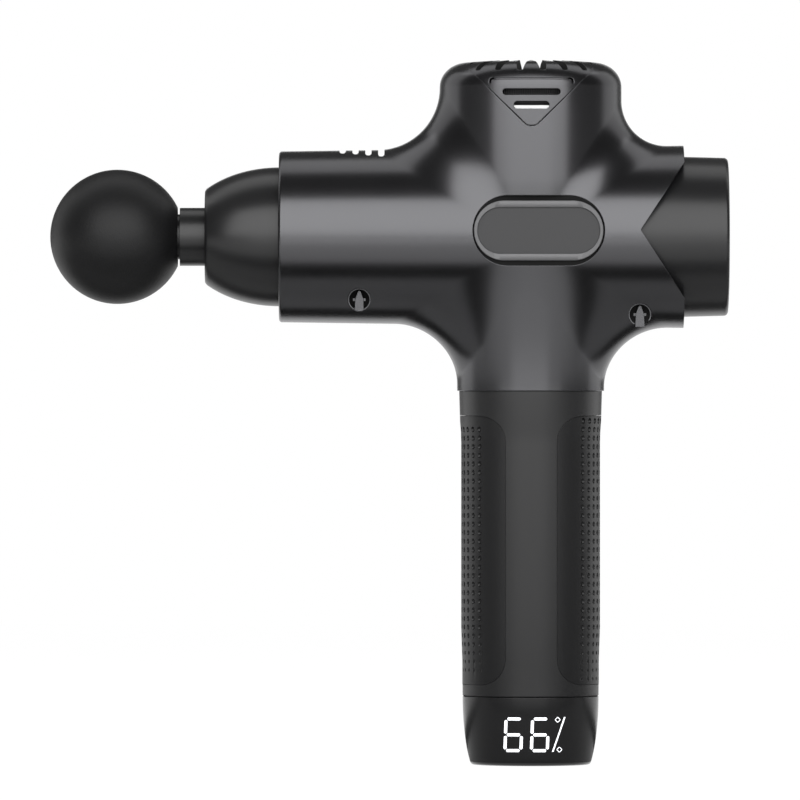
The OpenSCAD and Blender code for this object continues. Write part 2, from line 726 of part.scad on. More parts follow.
module crank_disc() color([0.6, 0.6, 0.62]) difference() {
    union() {
        disc_z(crank_z, crank_t, crank_r);
        intersection() {
            disc_z(crank_z, crank_t, weight_r);
            translate([-weight_r, -weight_r, crank_z]) cube([2 * weight_r, weight_r - 4, crank_t]);
        }
    }
    disc_z(crank_z + 0.4 - tiny, crank_t, shaft_r + tiny);
    disc_z(crank_z - 1, crank_t + 2, pin_r + tiny, y = throw);
}

module crank_pin() color([0.85, 0.85, 0.87]) {
    disc_z(axis_h - yoke_half_h + 1, yoke_half_h * 2 + crank_gap + crank_t - 1 - 0.4, pin_r, y = throw);
    disc_z(axis_h - yoke_half_h + 0.4, 0.8, pin_r + 1.2, y = throw);
}

module crank_roller() color([0.75, 0.75, 0.78])
    disc_z(axis_h - yoke_half_h + 1.4, 2 * yoke_half_h - 2.2, roller_r, pin_r + run, y = throw);

module yoke() color([0.5, 0.5, 0.52]) {
    difference() {
        translate([-slot_half_x - yoke_wall, -slot_half_y - yoke_wall, axis_h - yoke_half_h])
            cube([2 * (slot_half_x + yoke_wall), 2 * (slot_half_y + yoke_wall), 2 * yoke_half_h]);
        translate([0, 0, axis_h - 20]) linear_extrude(40) hull() for (s = [-1, 1])
            translate([0, s * (slot_half_y - slot_half_x)]) circle(r = slot_half_x, $fn = bore_fine);
        disc_x(-slot_half_x - yoke_wall - 1, 3, rod_r - 1 + tiny);
    }
    disc_x(slot_half_x + yoke_wall - 1, rear_wall_x + rear_wall_t + tail_reach - slot_half_x - yoke_wall, tail_r);
}

module plunger_rod() color([0.8, 0.8, 0.82]) turned_x([[sleeve_rear - 8, 0], [sleeve_rear - 8, rod_r - 1],
    [sleeve_rear + tiny, rod_r - 1], [sleeve_rear + tiny, rod_r], [-slot_half_x - yoke_wall - tiny, rod_r],
    [-slot_half_x - yoke_wall - tiny, rod_r - 1], [-slot_half_x - yoke_wall + 1.9, rod_r - 1],
    [-slot_half_x - yoke_wall + 1.9, 0]]);

module plunger_sleeve() color([0.72, 0.73, 0.75]) difference() {
    turned_x([[sleeve_front, socket_r], [sleeve_front, sleeve_r - 0.5], [sleeve_front + 0.5, sleeve_r],
        [sleeve_rear, sleeve_r], [sleeve_rear, 0], [socket_end, 0], [socket_end, socket_r]]);
    disc_x(sleeve_rear - 8.2, 9, rod_r - 1 + tiny);
}

module plunger_bush() color([0.75, 0.6, 0.3]) disc_x(bush_x, bush_len, bush_r, sleeve_r + run, sides = fine);

module tail_bush() color([0.75, 0.6, 0.3]) disc_x(rear_wall_x, rear_wall_t, tail_bush_r, tail_r + run);

module guide_tube() color([0.68, 0.69, 0.7]) difference() {
    union() {
        turned_x([[bush_x - 1, bush_r - 1], [bush_x - 1, guide_r], [guide_rear, guide_r],
            [guide_rear, bush_r - 1]]);
        disc_x(flange_x + tiny, flange_t, flange_r, guide_r - 1);
    }
    disc_x(bush_x, guide_rear - bush_x + 1, bush_r + tiny, sides = fine);
}

module grip_outline(side) {
    far = side * 40;
    near = side * grip_strip;
    hull() {
        translate([near + side * grip_corner_r, grip_low_z + grip_corner_r])
            circle(r = grip_corner_r, $fn = 32);
        translate([near + side * 3, grip_top_z - 4 - grip_slant / 3]) circle(r = 3, $fn = 24);
        translate([near + side * 8, grip_top_z - 3]) circle(r = 3, $fn = 24);
        translate([min(near + side * 20, far), grip_low_z]) square([abs(far - near) - 20, grip_top_z - grip_low_z]);
    }
}

module handle_tube() color([0.2, 0.2, 0.21]) difference() {
    rotate_extrude($fn = fine) polygon([[handle_bore_r, base_cap_h], [handle_r - 0.5, base_cap_h],
        [handle_r - 0.4, base_cap_h + 12], [handle_r, base_cap_h + 24], [handle_r, grip_top_z - 10],
        [handle_neck_r - 0.3, grip_top_z - 2], [handle_neck_r, handle_top_z],
        [skirt_r - shell_wall - fit, handle_top_z], [skirt_r - shell_wall - fit, skirt_z + neck_h],
        [handle_bore_r, skirt_z + neck_h]]);
    difference() {
        disc_z(grip_low_z - 2, grip_top_z - grip_low_z + 4, handle_r + 5, handle_r - grip_t, sides = fine);
        cube([2 * grip_strip, 80, 600], center = true);
        grip_blank();
    }
}

// What the grips leave of the handle's skin, beyond their rounded outline
module grip_blank() {
    difference() {
        translate([-40, -40, grip_low_z - 4]) cube([80, 80, grip_top_z - grip_low_z + 8]);
        for (s = [-1, 1]) through_y(-50, 50) grip_outline(s);
    }
}

module grip(side) {
    intersection() {
        rotate_extrude($fn = fine) polygon([[handle_r - grip_t + 0.02, grip_low_z - 2],
            [handle_r - 0.3, grip_low_z - 2], [handle_r, base_cap_h + 24], [handle_r, grip_top_z - 10],
            [handle_r + 0.3, grip_top_z + 2], [handle_r - grip_t + 0.02, grip_top_z + 2]]);
        through_y(-50, 50) offset(delta = -0.08) grip_outline(side);
    }
}

module front_grip() color([0.1, 0.1, 0.1]) grip(-1);

module rear_grip() color([0.1, 0.1, 0.1]) grip(1);

// Three columns of children round the handle axis
module three_columns() {
    for (a = [90, 210, 330]) rotate([0, 0, a]) translate([cell_ring_r, 0, 0]) children();
}

module battery_cells() color([0.2, 0.45, 0.7]) three_columns() for (i = [0, 1])
    translate([0, 0, cells_z + i * (cell_len + 0.4)]) {
        cylinder(r = cell_r, h = cell_len - 1, $fn = bore_fine);
        cylinder(r = 3, h = cell_len, $fn = 24);
    }

module cell_holders() color([0.85, 0.85, 0.8]) for (z = [stack_z, cells_z + cell_len - 4, cells_top - 2.4])
    difference() {
        disc_z(z, holder_h, holder_r);
        three_columns() {
            translate([0, 0, z == stack_z ? cells_z - tiny : z - 1]) cylinder(r = cell_r + 0.02,
                h = z == stack_z ? holder_h : z > cells_top - 5 ? 2.42 : holder_h + 2, $fn = bore_fine);
            translate([0, 0, z - 1]) cylinder(r = strap_w * 0.75, h = holder_h + 2, $fn = 24);
        }
    }

module battery_straps() color([0.8, 0.8, 0.78]) {
    three_columns() for (z = [cells_z - strap_t - tiny, cells_z + cell_len + tiny])
        translate([0, 0, z + strap_t / 2]) cube([strap_w, strap_w, strap_t], center = true);
}

module battery_board() color([0.05, 0.3, 0.15]) {
    disc_z(cells_top + 1.6 + tiny, board_t, 18);
    for (x = [-9 : 6 : 9]) translate([x - 2, -8, cells_top + 1.6 + board_t]) cube([4, 5, 1.4]);
    translate([-5, 4, cells_top + 1.6 + board_t]) cube([10, 6, 3]);
}

// Section of the foot cap, shrunk by inset
function cap_section(inset) = [for (i = [0 : 5]) let(z = base_cap_h * i / 5)
    [foot_r + (handle_r - 0.5 - foot_r) * sin(90 * pow(i / 5, 0.75)) - inset, z]];

module base_cap() color([0.07, 0.07, 0.08]) difference() {
    union() {
        rotate_extrude($fn = fine) polygon(concat([[foot_r - cap_wall_t, 0]], [[foot_r - 0.5, 0]],
            [[foot_r, 0.5]], [for (i = [1 : 5]) cap_section(0)[i]],
            [[handle_bore_r - fit, base_cap_h], [handle_bore_r - fit, base_cap_h + lap_h],
             [handle_bore_r - fit - 1.6, base_cap_h + lap_h], [handle_bore_r - fit - 1.6, base_cap_h - 4]]));
    }
    digit_blocks(0.02);
}

// Seven bars of one digit with their places: [x, z, width, height]
function digit_bars(off) = let(w = digit_w, h = digit_h, t = digit_t, g = 0.18)
    [for (b = [[t / 2 + g, h - t, w - t - 2 * g, t], [t / 2 + g, (h - t) / 2, w - t - 2 * g, t],
        [t / 2 + g, 0, w - t - 2 * g, t], [0, h / 2 + g, t, h / 2 - g - t / 2],
        [0, t / 2, t, h / 2 - g - t / 2], [w - t, t / 2, t, h / 2 - g - t / 2]])
        [b[0] + off, b[1], b[2], b[3]]];

module digit_blocks(grow) {
    intersection() {
        difference() {
            rotate_extrude($fn = fine) polygon(concat([[0, 0]], cap_section(0), [[0, base_cap_h]]));
            rotate_extrude($fn = fine) polygon(concat([[0, 0]], cap_section(digit_skin), [[0, base_cap_h]]));
        }
        translate([0, 0, digit_z - digit_h / 2]) through_y(-40, 0) {
            for (off = [-10.3, -0.6]) for (b = digit_bars(off))
                translate([b[0] - grow, b[1] - grow]) square([b[2] + 2 * grow, b[3] + 2 * grow]);
            translate([9.6, digit_h / 2]) rotate(-20) square([0.7 + grow, digit_h + grow], center = true);
            for (p = [[7.6, 10.2], [11.8, 2.2]]) translate(p) rotate(45)
                square([1.1 + grow, 1.1 + grow], center = true);
        }
    }
}

module display_digits() color([0.95, 0.97, 1]) digit_blocks(0);

module display_board() color([0.05, 0.3, 0.15]) {
    translate([-display_half_w - 3, -display_y + 2.2 + tiny, plate_h + 0.3])
        cube([2 * display_half_w + 6, board_t, 14]);
    translate([-display_half_w, -display_y, plate_h + 1.2]) cube([2 * display_half_w, 2.3, 12]);
}

module bottom_plate() color([0.1, 0.1, 0.1]) difference() {
    union() {
        disc_z(0, plate_h, foot_r - cap_wall_t - 0.05, sides = fine);
        translate([-12, -display_y + 2.4 + board_t, plate_h - tiny]) cube([24, 1.5, 6]);
    }
    disc_z(-1, plate_h + 2, jack_mouth_r + fit, x = jack_x);
    translate([switch_x - switch_w / 2 - fit, -switch_l / 2 - fit, -1])
        cube([switch_w + 2 * fit, switch_l + 2 * fit, plate_h + 2]);
}

module charge_jack() color([0.06, 0.06, 0.06]) difference() {
    union() {
        disc_z(0.4, jack_len - 0.4, jack_mouth_r, x = jack_x);
        translate([jack_x - 5, -5, plate_h + tiny]) cube([10, 10, jack_len - plate_h]);
    }
    disc_z(-1, jack_len, jack_bore_r, x = jack_x);
    disc_z(-1, jack_len + 2, 1.05, x = jack_x);
}

module jack_pin() color([0.85, 0.85, 0.85]) disc_z(1.2, jack_len - 1.4, 1.03, x = jack_x, sides = 24);

module switch_frame() color([0.06, 0.06, 0.06]) difference() {
    union() {
        translate([switch_x - switch_w / 2, -switch_l / 2, 0.2]) cube([switch_w, switch_l, 10]);
        translate([switch_x - switch_w / 2 - 1, -switch_l / 2 - 1, plate_h + tiny])
            cube([switch_w + 2, switch_l + 2, 7]);
    }
    translate([switch_x - switch_w / 2 + 1, -switch_l / 2 + 1, -1]) cube([switch_w - 2, switch_l - 2, 8]);
    translate([switch_x, 0, 4]) rotate([0, 90, 0]) cylinder(r = 1 + run, h = switch_w - 0.8, center = true, $fn = 32);
}

// Shallow V-faced rocker on a cross pin, stored with one end pressed
module power_rocker() color([0.5, 0.05, 0.04]) translate([switch_x, 0, 4]) rotate([switch_tilt, 0, 0]) {
    difference() {
        rotate([0, 90, 0]) linear_extrude(switch_w - 2.6, center = true) polygon([[2.9, -4.9], [2.1, 0],
            [2.9, 4.9], [-0.2, 4.9], [-2, 1.8], [-2, -1.8], [-0.2, -4.9]]);
    }
    rotate([0, 90, 0]) cylinder(r = 1, h = switch_w - 1.2, center = true, $fn = 32);
}

ball_head();
head_stem();
stem_o_rings();
nose_cone();
nose_seal();
housing_left();
housing_right();
left_bezel();
left_badge();
right_bezel();
right_badge();
top_vent_cover();
vent_mesh();
housing_screws();
rear_cap();
control_panel();
power_button();
plus_key();
minus_key();
level_lights();
control_board();
drive_board();
drive_frame();
motor_mount();
motor_stator();
motor_windings();
motor_rotor();
rotor_magnets();
motor_shaft();
motor_bearings();
cooling_fan();
crank_disc();
crank_pin();
crank_roller();
yoke();
plunger_rod();
plunger_sleeve();
plunger_bush();
tail_bush();
guide_tube();
handle_tube();
front_grip();
rear_grip();
battery_cells();
cell_holders();
battery_straps();
battery_board();
base_cap();
display_digits();
display_board();
bottom_plate();
charge_jack();
jack_pin();
switch_frame();
power_rocker();
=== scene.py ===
import math

import bmesh
import bpy
import numpy as np
from mathutils import Matrix, Vector


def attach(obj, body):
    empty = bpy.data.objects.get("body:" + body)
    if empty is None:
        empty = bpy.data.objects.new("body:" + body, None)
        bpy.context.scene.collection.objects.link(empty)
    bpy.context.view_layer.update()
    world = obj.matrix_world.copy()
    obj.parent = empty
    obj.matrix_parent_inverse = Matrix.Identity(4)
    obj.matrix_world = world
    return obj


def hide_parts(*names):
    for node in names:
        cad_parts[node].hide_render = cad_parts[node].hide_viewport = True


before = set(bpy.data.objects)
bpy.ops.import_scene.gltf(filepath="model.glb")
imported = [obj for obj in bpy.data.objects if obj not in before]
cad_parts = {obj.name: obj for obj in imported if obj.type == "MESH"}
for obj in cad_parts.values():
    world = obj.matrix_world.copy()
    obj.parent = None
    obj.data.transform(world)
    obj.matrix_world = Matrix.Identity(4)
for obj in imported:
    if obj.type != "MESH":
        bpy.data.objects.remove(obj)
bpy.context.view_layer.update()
MM = 0.001

# ---- Housing shells ----
# Two half shells of glass-filled nylon, parted on the middle plane, painted satin graphite and screwed
# together from the left. Barrel and upright motor bulge run into each other over rolling-ball fillets.
AXIS_H = 184.6
FRONT_X, REAR_X = -88.0, 53.4
BARREL_FRONT_R, BARREL_REAR_R = 29.9, 31.9
BULGE_R, BULGE_EDGE_R, BULGE_CROWN = 31.8, 9.5, 1.0
BULGE_TOP = AXIS_H + 61.9
DOME_Z = BULGE_TOP - BULGE_EDGE_R
SKIRT_R = 25.7
SKIRT_Z = AXIS_H - 53.9
SHELL_WALL = 2.4
RIM_R = 1.0
CROTCH = {"front_top": 21.5, "rear_top": 16.0, "front_low": 20.3, "rear_low": 21.0}
TURN_LEN = 54.5


def smooth_step(t):
    u = np.clip(t, 0, 1)
    return u * u * (3 - 2 * u)


def barrel_radius(x):
    taper = BARREL_FRONT_R + (BARREL_REAR_R - BARREL_FRONT_R) * (x - FRONT_X) / (REAR_X - FRONT_X)
    rim = np.clip((x - FRONT_X) / RIM_R, 0, 1)
    return taper - RIM_R + RIM_R * np.sqrt(1 - (1 - rim) ** 2)


def column_radius(z):
    return SKIRT_R + (BULGE_R - SKIRT_R) * smooth_step((z - SKIRT_Z) / (AXIS_H + 20 - SKIRT_Z))


def crotch_radius(x, z):
    back = smooth_step((x + 10) / 20)
    up = smooth_step((z - AXIS_H + 10) / 20)
    low = CROTCH["front_low"] + (CROTCH["rear_low"] - CROTCH["front_low"]) * back
    top = CROTCH["front_top"] + (CROTCH["rear_top"] - CROTCH["front_top"]) * back
    return low + (top - low) * up


def skin_gap(p, inset):
    """Distance of points from the housing's skin, positive outside, for a skin grown inwards by inset."""
    x, y, z = p[..., 0], p[..., 1], p[..., 2]
    to_barrel = np.hypot(y, z - AXIS_H)
    to_column = np.hypot(x, y)
    k = crotch_radius(x, z) + inset
    a = to_barrel - barrel_radius(x) + inset - k
    b = to_column - column_radius(z) + inset - k
    g = np.minimum(0.98, y * y / np.maximum(1, to_barrel * to_column))
    in_crotch = (a < g * b) & (b < g * a)
    rolled = k - np.sqrt(np.maximum(0, (a * a + b * b - 2 * g * a * b) / (1 - g * g)))
    return np.where(in_crotch, rolled, np.minimum(a, b) + k)


def skin_points(start, direction, inset):
    low = np.full(start.shape[:-1], 5.0)
    high = np.full(start.shape[:-1], 90.0)
    for _ in range(40):
        middle = (low + high) / 2
        inside = skin_gap(start + middle[..., None] * direction, inset) < 0
        low = np.where(inside, middle, low)
        high = np.where(inside, high, middle)
    return start + ((low + high) / 2)[..., None] * direction


def arm_stations(length, spacing):
    """Places along one arm as (distance from the crossing, lean of the ray), from the end inwards."""
    out = []
    if length > TURN_LEN:
        out += [(length - RIM_R * (1 - math.cos(math.radians(18 * i))), 0) for i in range(5)]
        steps = max(1, round((length - RIM_R - TURN_LEN) / spacing))
        out += [(length - RIM_R + (TURN_LEN - length + RIM_R) * i / steps, 0) for i in range(steps)]
    turn = min(length, TURN_LEN)
    steps = round(turn / spacing)
    return out + [(turn * (1 - i / steps), math.radians(45 * i / steps)) for i in range(steps)]


def mesh_object(name, verts_mm, faces, merge=0.0):
    """Object at the origin from points in millimetres, with its faces turned outwards."""
    mesh = bpy.data.meshes.new(name)
    mesh.from_pydata([tuple(v) for v in np.asarray(verts_mm, float) * MM], [], [list(f) for f in faces])
    obj = bpy.data.objects.new(name, mesh)
    bpy.context.scene.collection.objects.link(obj)
    bm = bmesh.new()
    bm.from_mesh(mesh)
    if merge:
        bmesh.ops.remove_doubles(bm, verts=bm.verts, dist=merge * MM)
        bmesh.ops.dissolve_degenerate(bm, edges=bm.edges, dist=merge * MM * 0.1)
    bmesh.ops.recalc_face_normals(bm, faces=bm.faces)
    bm.to_mesh(mesh)
    bm.free()
    return obj


def housing_form(name, inset, x0, x1, z0, spacing, fan):
    """The closed T-shaped form, with its front, rear and lower ends at the given places."""
    verts, faces = [], []
    turn_angles = np.radians(np.linspace(-90, 90, fan + 1))
    edge = BULGE_EDGE_R - inset
    for sx in (-1, 1):
        for sz in (-1, 1):
            starts, leans = [], []
            for d, lean in arm_stations(-x0 if sx < 0 else x1, spacing):
                starts.append((sx * d, 0, AXIS_H))
                leans.append((sx * math.sin(lean), 0, sz * math.cos(lean)))
            starts.append((0, 0, AXIS_H))
            leans.append((sx * math.sqrt(0.5), 0, sz * math.sqrt(0.5)))
            for d, lean in reversed(arm_stations(AXIS_H - z0 if sz < 0 else DOME_Z - AXIS_H, spacing)):
                starts.append((0, 0, AXIS_H + sz * d))
                leans.append((sx * math.cos(lean), 0, sz * math.sin(lean)))
            starts = np.repeat(np.array(starts, float)[:, None, :], fan + 1, 1)
            along = np.cos(turn_angles)[None, :, None] * np.array(leans)[:, None, :]
            along[..., 1] = np.sin(turn_angles)[None, :]
            rows = list(skin_points(starts, along, inset))
            rows.insert(0, np.repeat([[rows[0][:, 0].mean(), 0, AXIS_H]], fan + 1, 0))
            rings = [(0.0, z0)] if sz < 0 else (
                [(BULGE_R - BULGE_EDGE_R + edge * math.cos(t), DOME_Z + (edge - BULGE_CROWN) * math.sin(t))
                 for t in np.radians(np.arange(7.5, 91, 7.5))]
                + [((BULGE_R - BULGE_EDGE_R) * s, DOME_Z + edge - BULGE_CROWN * s * s)
                   for s in (0.85, 0.7, 0.5, 0.3, 0.15, 0)])
            for r, z in rings:
                rows.append(np.stack([sx * r * np.cos(turn_angles), r * np.sin(turn_angles),
                                      np.full(fan + 1, z)], 1))
            first = len(verts)
            verts.extend(np.concatenate(rows))
            for i in range(len(rows) - 1):
                for j in range(fan):
                    v = first + i * (fan + 1) + j
                    faces.append((v, v + 1, v + fan + 2, v + fan + 1))
    return mesh_object(name, verts, faces, merge=0.002)


def prism(name, outline_xz, y0, y1):
    """Flat outline in X and Z pushed through from y0 to y1."""
    n = len(outline_xz)
    verts = [(x, y, z) for y in (y0, y1) for x, z in outline_xz]
    faces = [list(range(n)), list(range(2 * n - 1, n - 1, -1))]
    faces += [[i, (i + 1) % n, n + (i + 1) % n, n + i] for i in range(n)]
    return mesh_object(name, verts, faces)


def combine(target, cutter, how="DIFFERENCE"):
    """Boolean of two closed meshes, applied at once; the second one is used up."""
    mod = target.modifiers.new("cut", "BOOLEAN")
    mod.operation, mod.solver, mod.object = how, "MANIFOLD", cutter
    bpy.context.view_layer.update()
    mesh = bpy.data.meshes.new_from_object(target.evaluated_get(bpy.context.evaluated_depsgraph_get()))
    target.modifiers.clear()
    old, target.data = target.data, mesh
    bpy.data.meshes.remove(old)
    bpy.data.objects.remove(cutter)
    return target


def circle(x, z, r, sides=48):
    turns = np.linspace(0, 2 * math.pi, sides, endpoint=False)
    return [(x + r * math.cos(t), z + r * math.sin(t)) for t in turns]


def oval(x, z, w, h, steps=32):
    """Upright stadium with round ends, as a list of points."""
    flat = (w - h) / 2
    ends = [(1, -90), (-1, 90)]
    return [(x + s * flat + h / 2 * math.cos(math.radians(a + 180 * i / steps)),
             z + h / 2 * math.sin(math.radians(a + 180 * i / steps)))
            for s, a in ends for i in range(steps + 1)]


def rounded(corners, radii, steps=8):
    """Closed outline whose corners are rounded to the given radii."""
    out = []
    n = len(corners)
    for i, r in enumerate(radii):
        here = np.array(corners[i], float)
        before = np.array(corners[i - 1], float) - here
        after = np.array(corners[(i + 1) % n], float) - here
        before /= np.linalg.norm(before)
        after /= np.linalg.norm(after)
        half = math.acos(max(-1, min(1, float(before @ after)))) / 2
        if r <= 0 or half > 1.56:
            out.append(tuple(here))
            continue
        back = r / math.tan(half)
        centre = here + (before + after) / np.linalg.norm(before + after) * r / math.sin(half)
        p0, p1 = here + before * back - centre, here + after * back - centre
        sweep = math.acos(max(-1, min(1, float(p0 @ p1) / r ** 2)))
        for k in range(steps + 1):
            t = k / steps
            p = (math.sin((1 - t) * sweep) * p0 + math.sin(t * sweep) * p1) / math.sin(sweep)
            out.append(tuple(centre + p))
    return out


NOTCH_DEPTH, NOTCH_H, NOTCH_MID = 15.5, 47.4, AXIS_H + 2
CAP_R, CAP_LEN, CAP_WALL, NOTCH_LAP = 28.0, 15.6, 2.0, 4.0
CAP_X = REAR_X + CAP_LEN


def notch_outline(lap, tip_r):
    tip = REAR_X - NOTCH_DEPTH - lap
    reach = NOTCH_DEPTH + 10
    half = reach * NOTCH_H / 2 / NOTCH_DEPTH
    return rounded([(tip, NOTCH_MID), (tip + reach, NOTCH_MID + half), (tip + reach, NOTCH_MID - half)],
                   [tip_r, 0, 0])


VENT_TIP_Z, VENT_HALF_W, VENT_CORNER_Z, VENT_TIP_R = BULGE_TOP - 23.9, 21.3, BULGE_TOP - 4.5, 5.0


def vent_outline(gap):
    """V with a round tip that widens up to the crown, shrunk by gap."""
    rise = VENT_CORNER_Z - VENT_TIP_Z - VENT_TIP_R
    reach = math.hypot(VENT_HALF_W, rise)
    slope = math.atan2(rise, VENT_HALF_W) - math.asin(VENT_TIP_R / reach)
    r = VENT_TIP_R - gap
    side = [(r * math.sin(a), VENT_TIP_Z + VENT_TIP_R - r * math.cos(a))
            for a in np.linspace(0, slope, 9)]
    corner = (VENT_HALF_W - min(gap, 0.03), VENT_CORNER_Z + 0.2)
    right = side + [corner, (corner[0], BULGE_TOP + 12)]
    return [(-x, z) for x, z in reversed(right)] + right[1:]


BADGE_X, BADGE_Z, BADGE_W, BADGE_H, BADGE_FLOOR = 2.5, AXIS_H + 1.8, 46.0, 24.4, 28.6
SCREWS = [(-59.9, AXIS_H - 22.1), (38.0, AXIS_H - 27.3)]
SCREW_SINK_R, SCREW_HEAD_Y = 4.0, -12.4
TONGUE_FOOT, TONGUE_SHOULDER, TONGUE_UP = 1.65, 1.45, 4.4
LOUVRE_X, LOUVRE_PITCH, LOUVRE_W = -59.0, 4.5, 2.2
LOUVRE_FLOORS = (29.0, 28.7, 28.3, 27.9)

shell = housing_form("shell", 0, FRONT_X, REAR_X, SKIRT_Z, 1.5, 72)
lining = housing_form("lining", SHELL_WALL, FRONT_X + SHELL_WALL, REAR_X + 2, SKIRT_Z - 2, 3, 36)
for side in (-1, 1):
    near, far = sorted((side * (BADGE_FLOOR - 2), side * 40))
    combine(lining, prism("backing", oval(BADGE_X, BADGE_Z, BADGE_W + 3, BADGE_H + 3), near, far))
for x, z in SCREWS:
    combine(lining, prism("boss", circle(x, z, 5, 32), -45, 45))
combine(shell, lining)
bore = prism("bore", circle(0, 0, 21.3, 96), FRONT_X - 1, FRONT_X + SHELL_WALL + 1)
bore.data.transform(Matrix.Translation((0, 0, AXIS_H * MM)) @ Matrix.Rotation(-math.pi / 2, 4, "Z"))
combine(shell, bore)
combine(shell, prism("notch", notch_outline(0, 0.8), -60, 60))
combine(shell, prism("vent", vent_outline(0), -60, 60))
for side in (-1, 1):
    near, far = sorted((side * BADGE_FLOOR, side * 50))
    combine(shell, prism("recess", oval(BADGE_X, BADGE_Z, BADGE_W, BADGE_H, 48), near, far))
for x, z in SCREWS:
    combine(shell, prism("sink", circle(x, z, SCREW_SINK_R), -60, SCREW_HEAD_Y))
    low_z = z - SCREW_SINK_R
    tongue = rounded([(x - TONGUE_FOOT, low_z - 0.4), (x + TONGUE_FOOT, low_z - 0.4),
                      (x + TONGUE_SHOULDER, z + 0.2), (x, z + TONGUE_UP), (x - TONGUE_SHOULDER, z + 0.2)],
                     [0, 0, 2.5, 0.6, 2.5], 5)
    low_edge = skin_points(np.array([[x, 0, low_z]], float), np.array([[0, -1.0, 0]]), 0)[0, 1]
    face_y = min(low_edge + 0.7, SCREW_HEAD_Y - 1.2)
    combine(shell, prism("tongue", tongue, face_y, SCREW_HEAD_Y - 0.6), "UNION")
for i in range(4):
    x = LOUVRE_X + (i - 1.5) * LOUVRE_PITCH
    floor_z = AXIS_H + LOUVRE_FLOORS[i]
    slot = rounded([(x - LOUVRE_W / 2, floor_z), (x + LOUVRE_W / 2, floor_z),
                    (x + LOUVRE_W / 2, AXIS_H + 40), (x - LOUVRE_W / 2, AXIS_H + 40)], [0.9, 0.9, 0, 0])
    combine(shell, prism("louvre", slot, -13, 13))


def dome_normal(p):
    """Outward direction of the bulge's rounded crown."""
    crown_r = BULGE_R - BULGE_EDGE_R
    around = np.hypot(p[:, 0], p[:, 1])
    out = np.maximum(around - crown_r, 0) / BULGE_EDGE_R ** 2
    up = np.where(around > crown_r, (p[:, 2] - DOME_Z) / (BULGE_EDGE_R - BULGE_CROWN) ** 2, 1.0)
    lean = np.where(around > crown_r, out, 2 * BULGE_CROWN * around / crown_r ** 2)
    spokes = p[:, :2] / np.maximum(around, 1e-6)[:, None] * lean[:, None]
    n = np.concatenate([spokes, up[:, None]], 1)
    return n / np.linalg.norm(n, axis=1, keepdims=True)


def skin_normals(obj):
    """Gives the outer skin its true normals, and leaves the cut faces flat."""
    mesh = obj.data
    loops = len(mesh.loops)
    vert = np.zeros(loops, np.int64)
    mesh.loops.foreach_get("vertex_index", vert)
    co = np.zeros(len(mesh.vertices) * 3)
    mesh.vertices.foreach_get("co", co)
    p = co.reshape(-1, 3)[vert] / MM
    face_n = np.zeros(len(mesh.polygons) * 3)
    mesh.polygons.foreach_get("normal", face_n)
    totals = np.zeros(len(mesh.polygons), np.int64)
    mesh.polygons.foreach_get("loop_total", totals)
    flat = np.repeat(face_n.reshape(-1, 3), totals, 0)
    step = 0.02
    slope = np.stack([skin_gap(p + step * d, 0) - skin_gap(p - step * d, 0) for d in np.eye(3)], 1)
    slope /= np.maximum(np.linalg.norm(slope, axis=1, keepdims=True), 1e-9)
    on_dome = p[:, 2] > DOME_Z + 0.01
    slope = np.where(on_dome[:, None], dome_normal(p), slope)
    near_skin = on_dome | (np.abs(skin_gap(p, 0)) < 0.03)
    firsts = np.concatenate([[0], np.cumsum(totals)[:-1]])
    whole = np.repeat(np.logical_and.reduceat(near_skin, firsts), totals)
    use = (near_skin & ((flat * slope).sum(1) > 0.86)) | (whole & ((flat * slope).sum(1) > 0.2))
    mesh.shade_smooth()
    mesh.normals_split_custom_set(np.where(use[:, None], slope, flat).tolist())


def shared_group(name, inputs, outputs):
    group = bpy.data.node_groups.new(name, "ShaderNodeTree")
    for label, kind, value in inputs:
        socket = group.interface.new_socket(label, in_out="INPUT", socket_type=kind)
        socket.default_value = value
    for label, kind in outputs:
        group.interface.new_socket(label, in_out="OUTPUT", socket_type=kind)
    return group, group.nodes.new("NodeGroupInput"), group.nodes.new("NodeGroupOutput")


# Moulded grain: fine raised texture, rounded edges and slight unevenness of the gloss
grain, grain_in, grain_out = shared_group(
    "Moulded grain",
    [("Grain scale", "NodeSocketFloat", 2500.0), ("Grain depth", "NodeSocketFloat", 0.00001),
     ("Edge radius", "NodeSocketFloat", 0.0003), ("Roughness", "NodeSocketFloat", 0.4),
     ("Unevenness", "NodeSocketFloat", 0.05)],
    [("Normal", "NodeSocketVector"), ("Roughness", "NodeSocketFloat")])
place = grain.nodes.new("ShaderNodeTexCoord")
fine = grain.nodes.new("ShaderNodeTexNoise")
fine.inputs["Detail"].default_value = 2
edge = grain.nodes.new("ShaderNodeBevel")
edge.samples = 6
bump = grain.nodes.new("ShaderNodeBump")
broad = grain.nodes.new("ShaderNodeTexNoise")
broad.inputs["Scale"].default_value = 45
spread = grain.nodes.new("ShaderNodeMath")
spread.operation = "MULTIPLY_ADD"
centre = grain.nodes.new("ShaderNodeMath")
centre.operation = "SUBTRACT"
centre.inputs[1].default_value = 0.5
grain.links.new(place.outputs["Object"], fine.inputs["Vector"])
grain.links.new(place.outputs["Object"], broad.inputs["Vector"])
grain.links.new(grain_in.outputs["Grain scale"], fine.inputs["Scale"])
grain.links.new(grain_in.outputs["Edge radius"], edge.inputs["Radius"])
grain.links.new(edge.outputs["Normal"], bump.inputs["Normal"])
grain.links.new(fine.outputs["Fac"], bump.inputs["Height"])
grain.links.new(grain_in.outputs["Grain depth"], bump.inputs["Distance"])
grain.links.new(broad.outputs["Fac"], centre.inputs[0])
grain.links.new(centre.outputs[0], spread.inputs[0])
grain.links.new(grain_in.outputs["Unevenness"], spread.inputs[1])
grain.links.new(grain_in.outputs["Roughness"], spread.inputs[2])
grain.links.new(bump.outputs["Normal"], grain_out.inputs["Normal"])
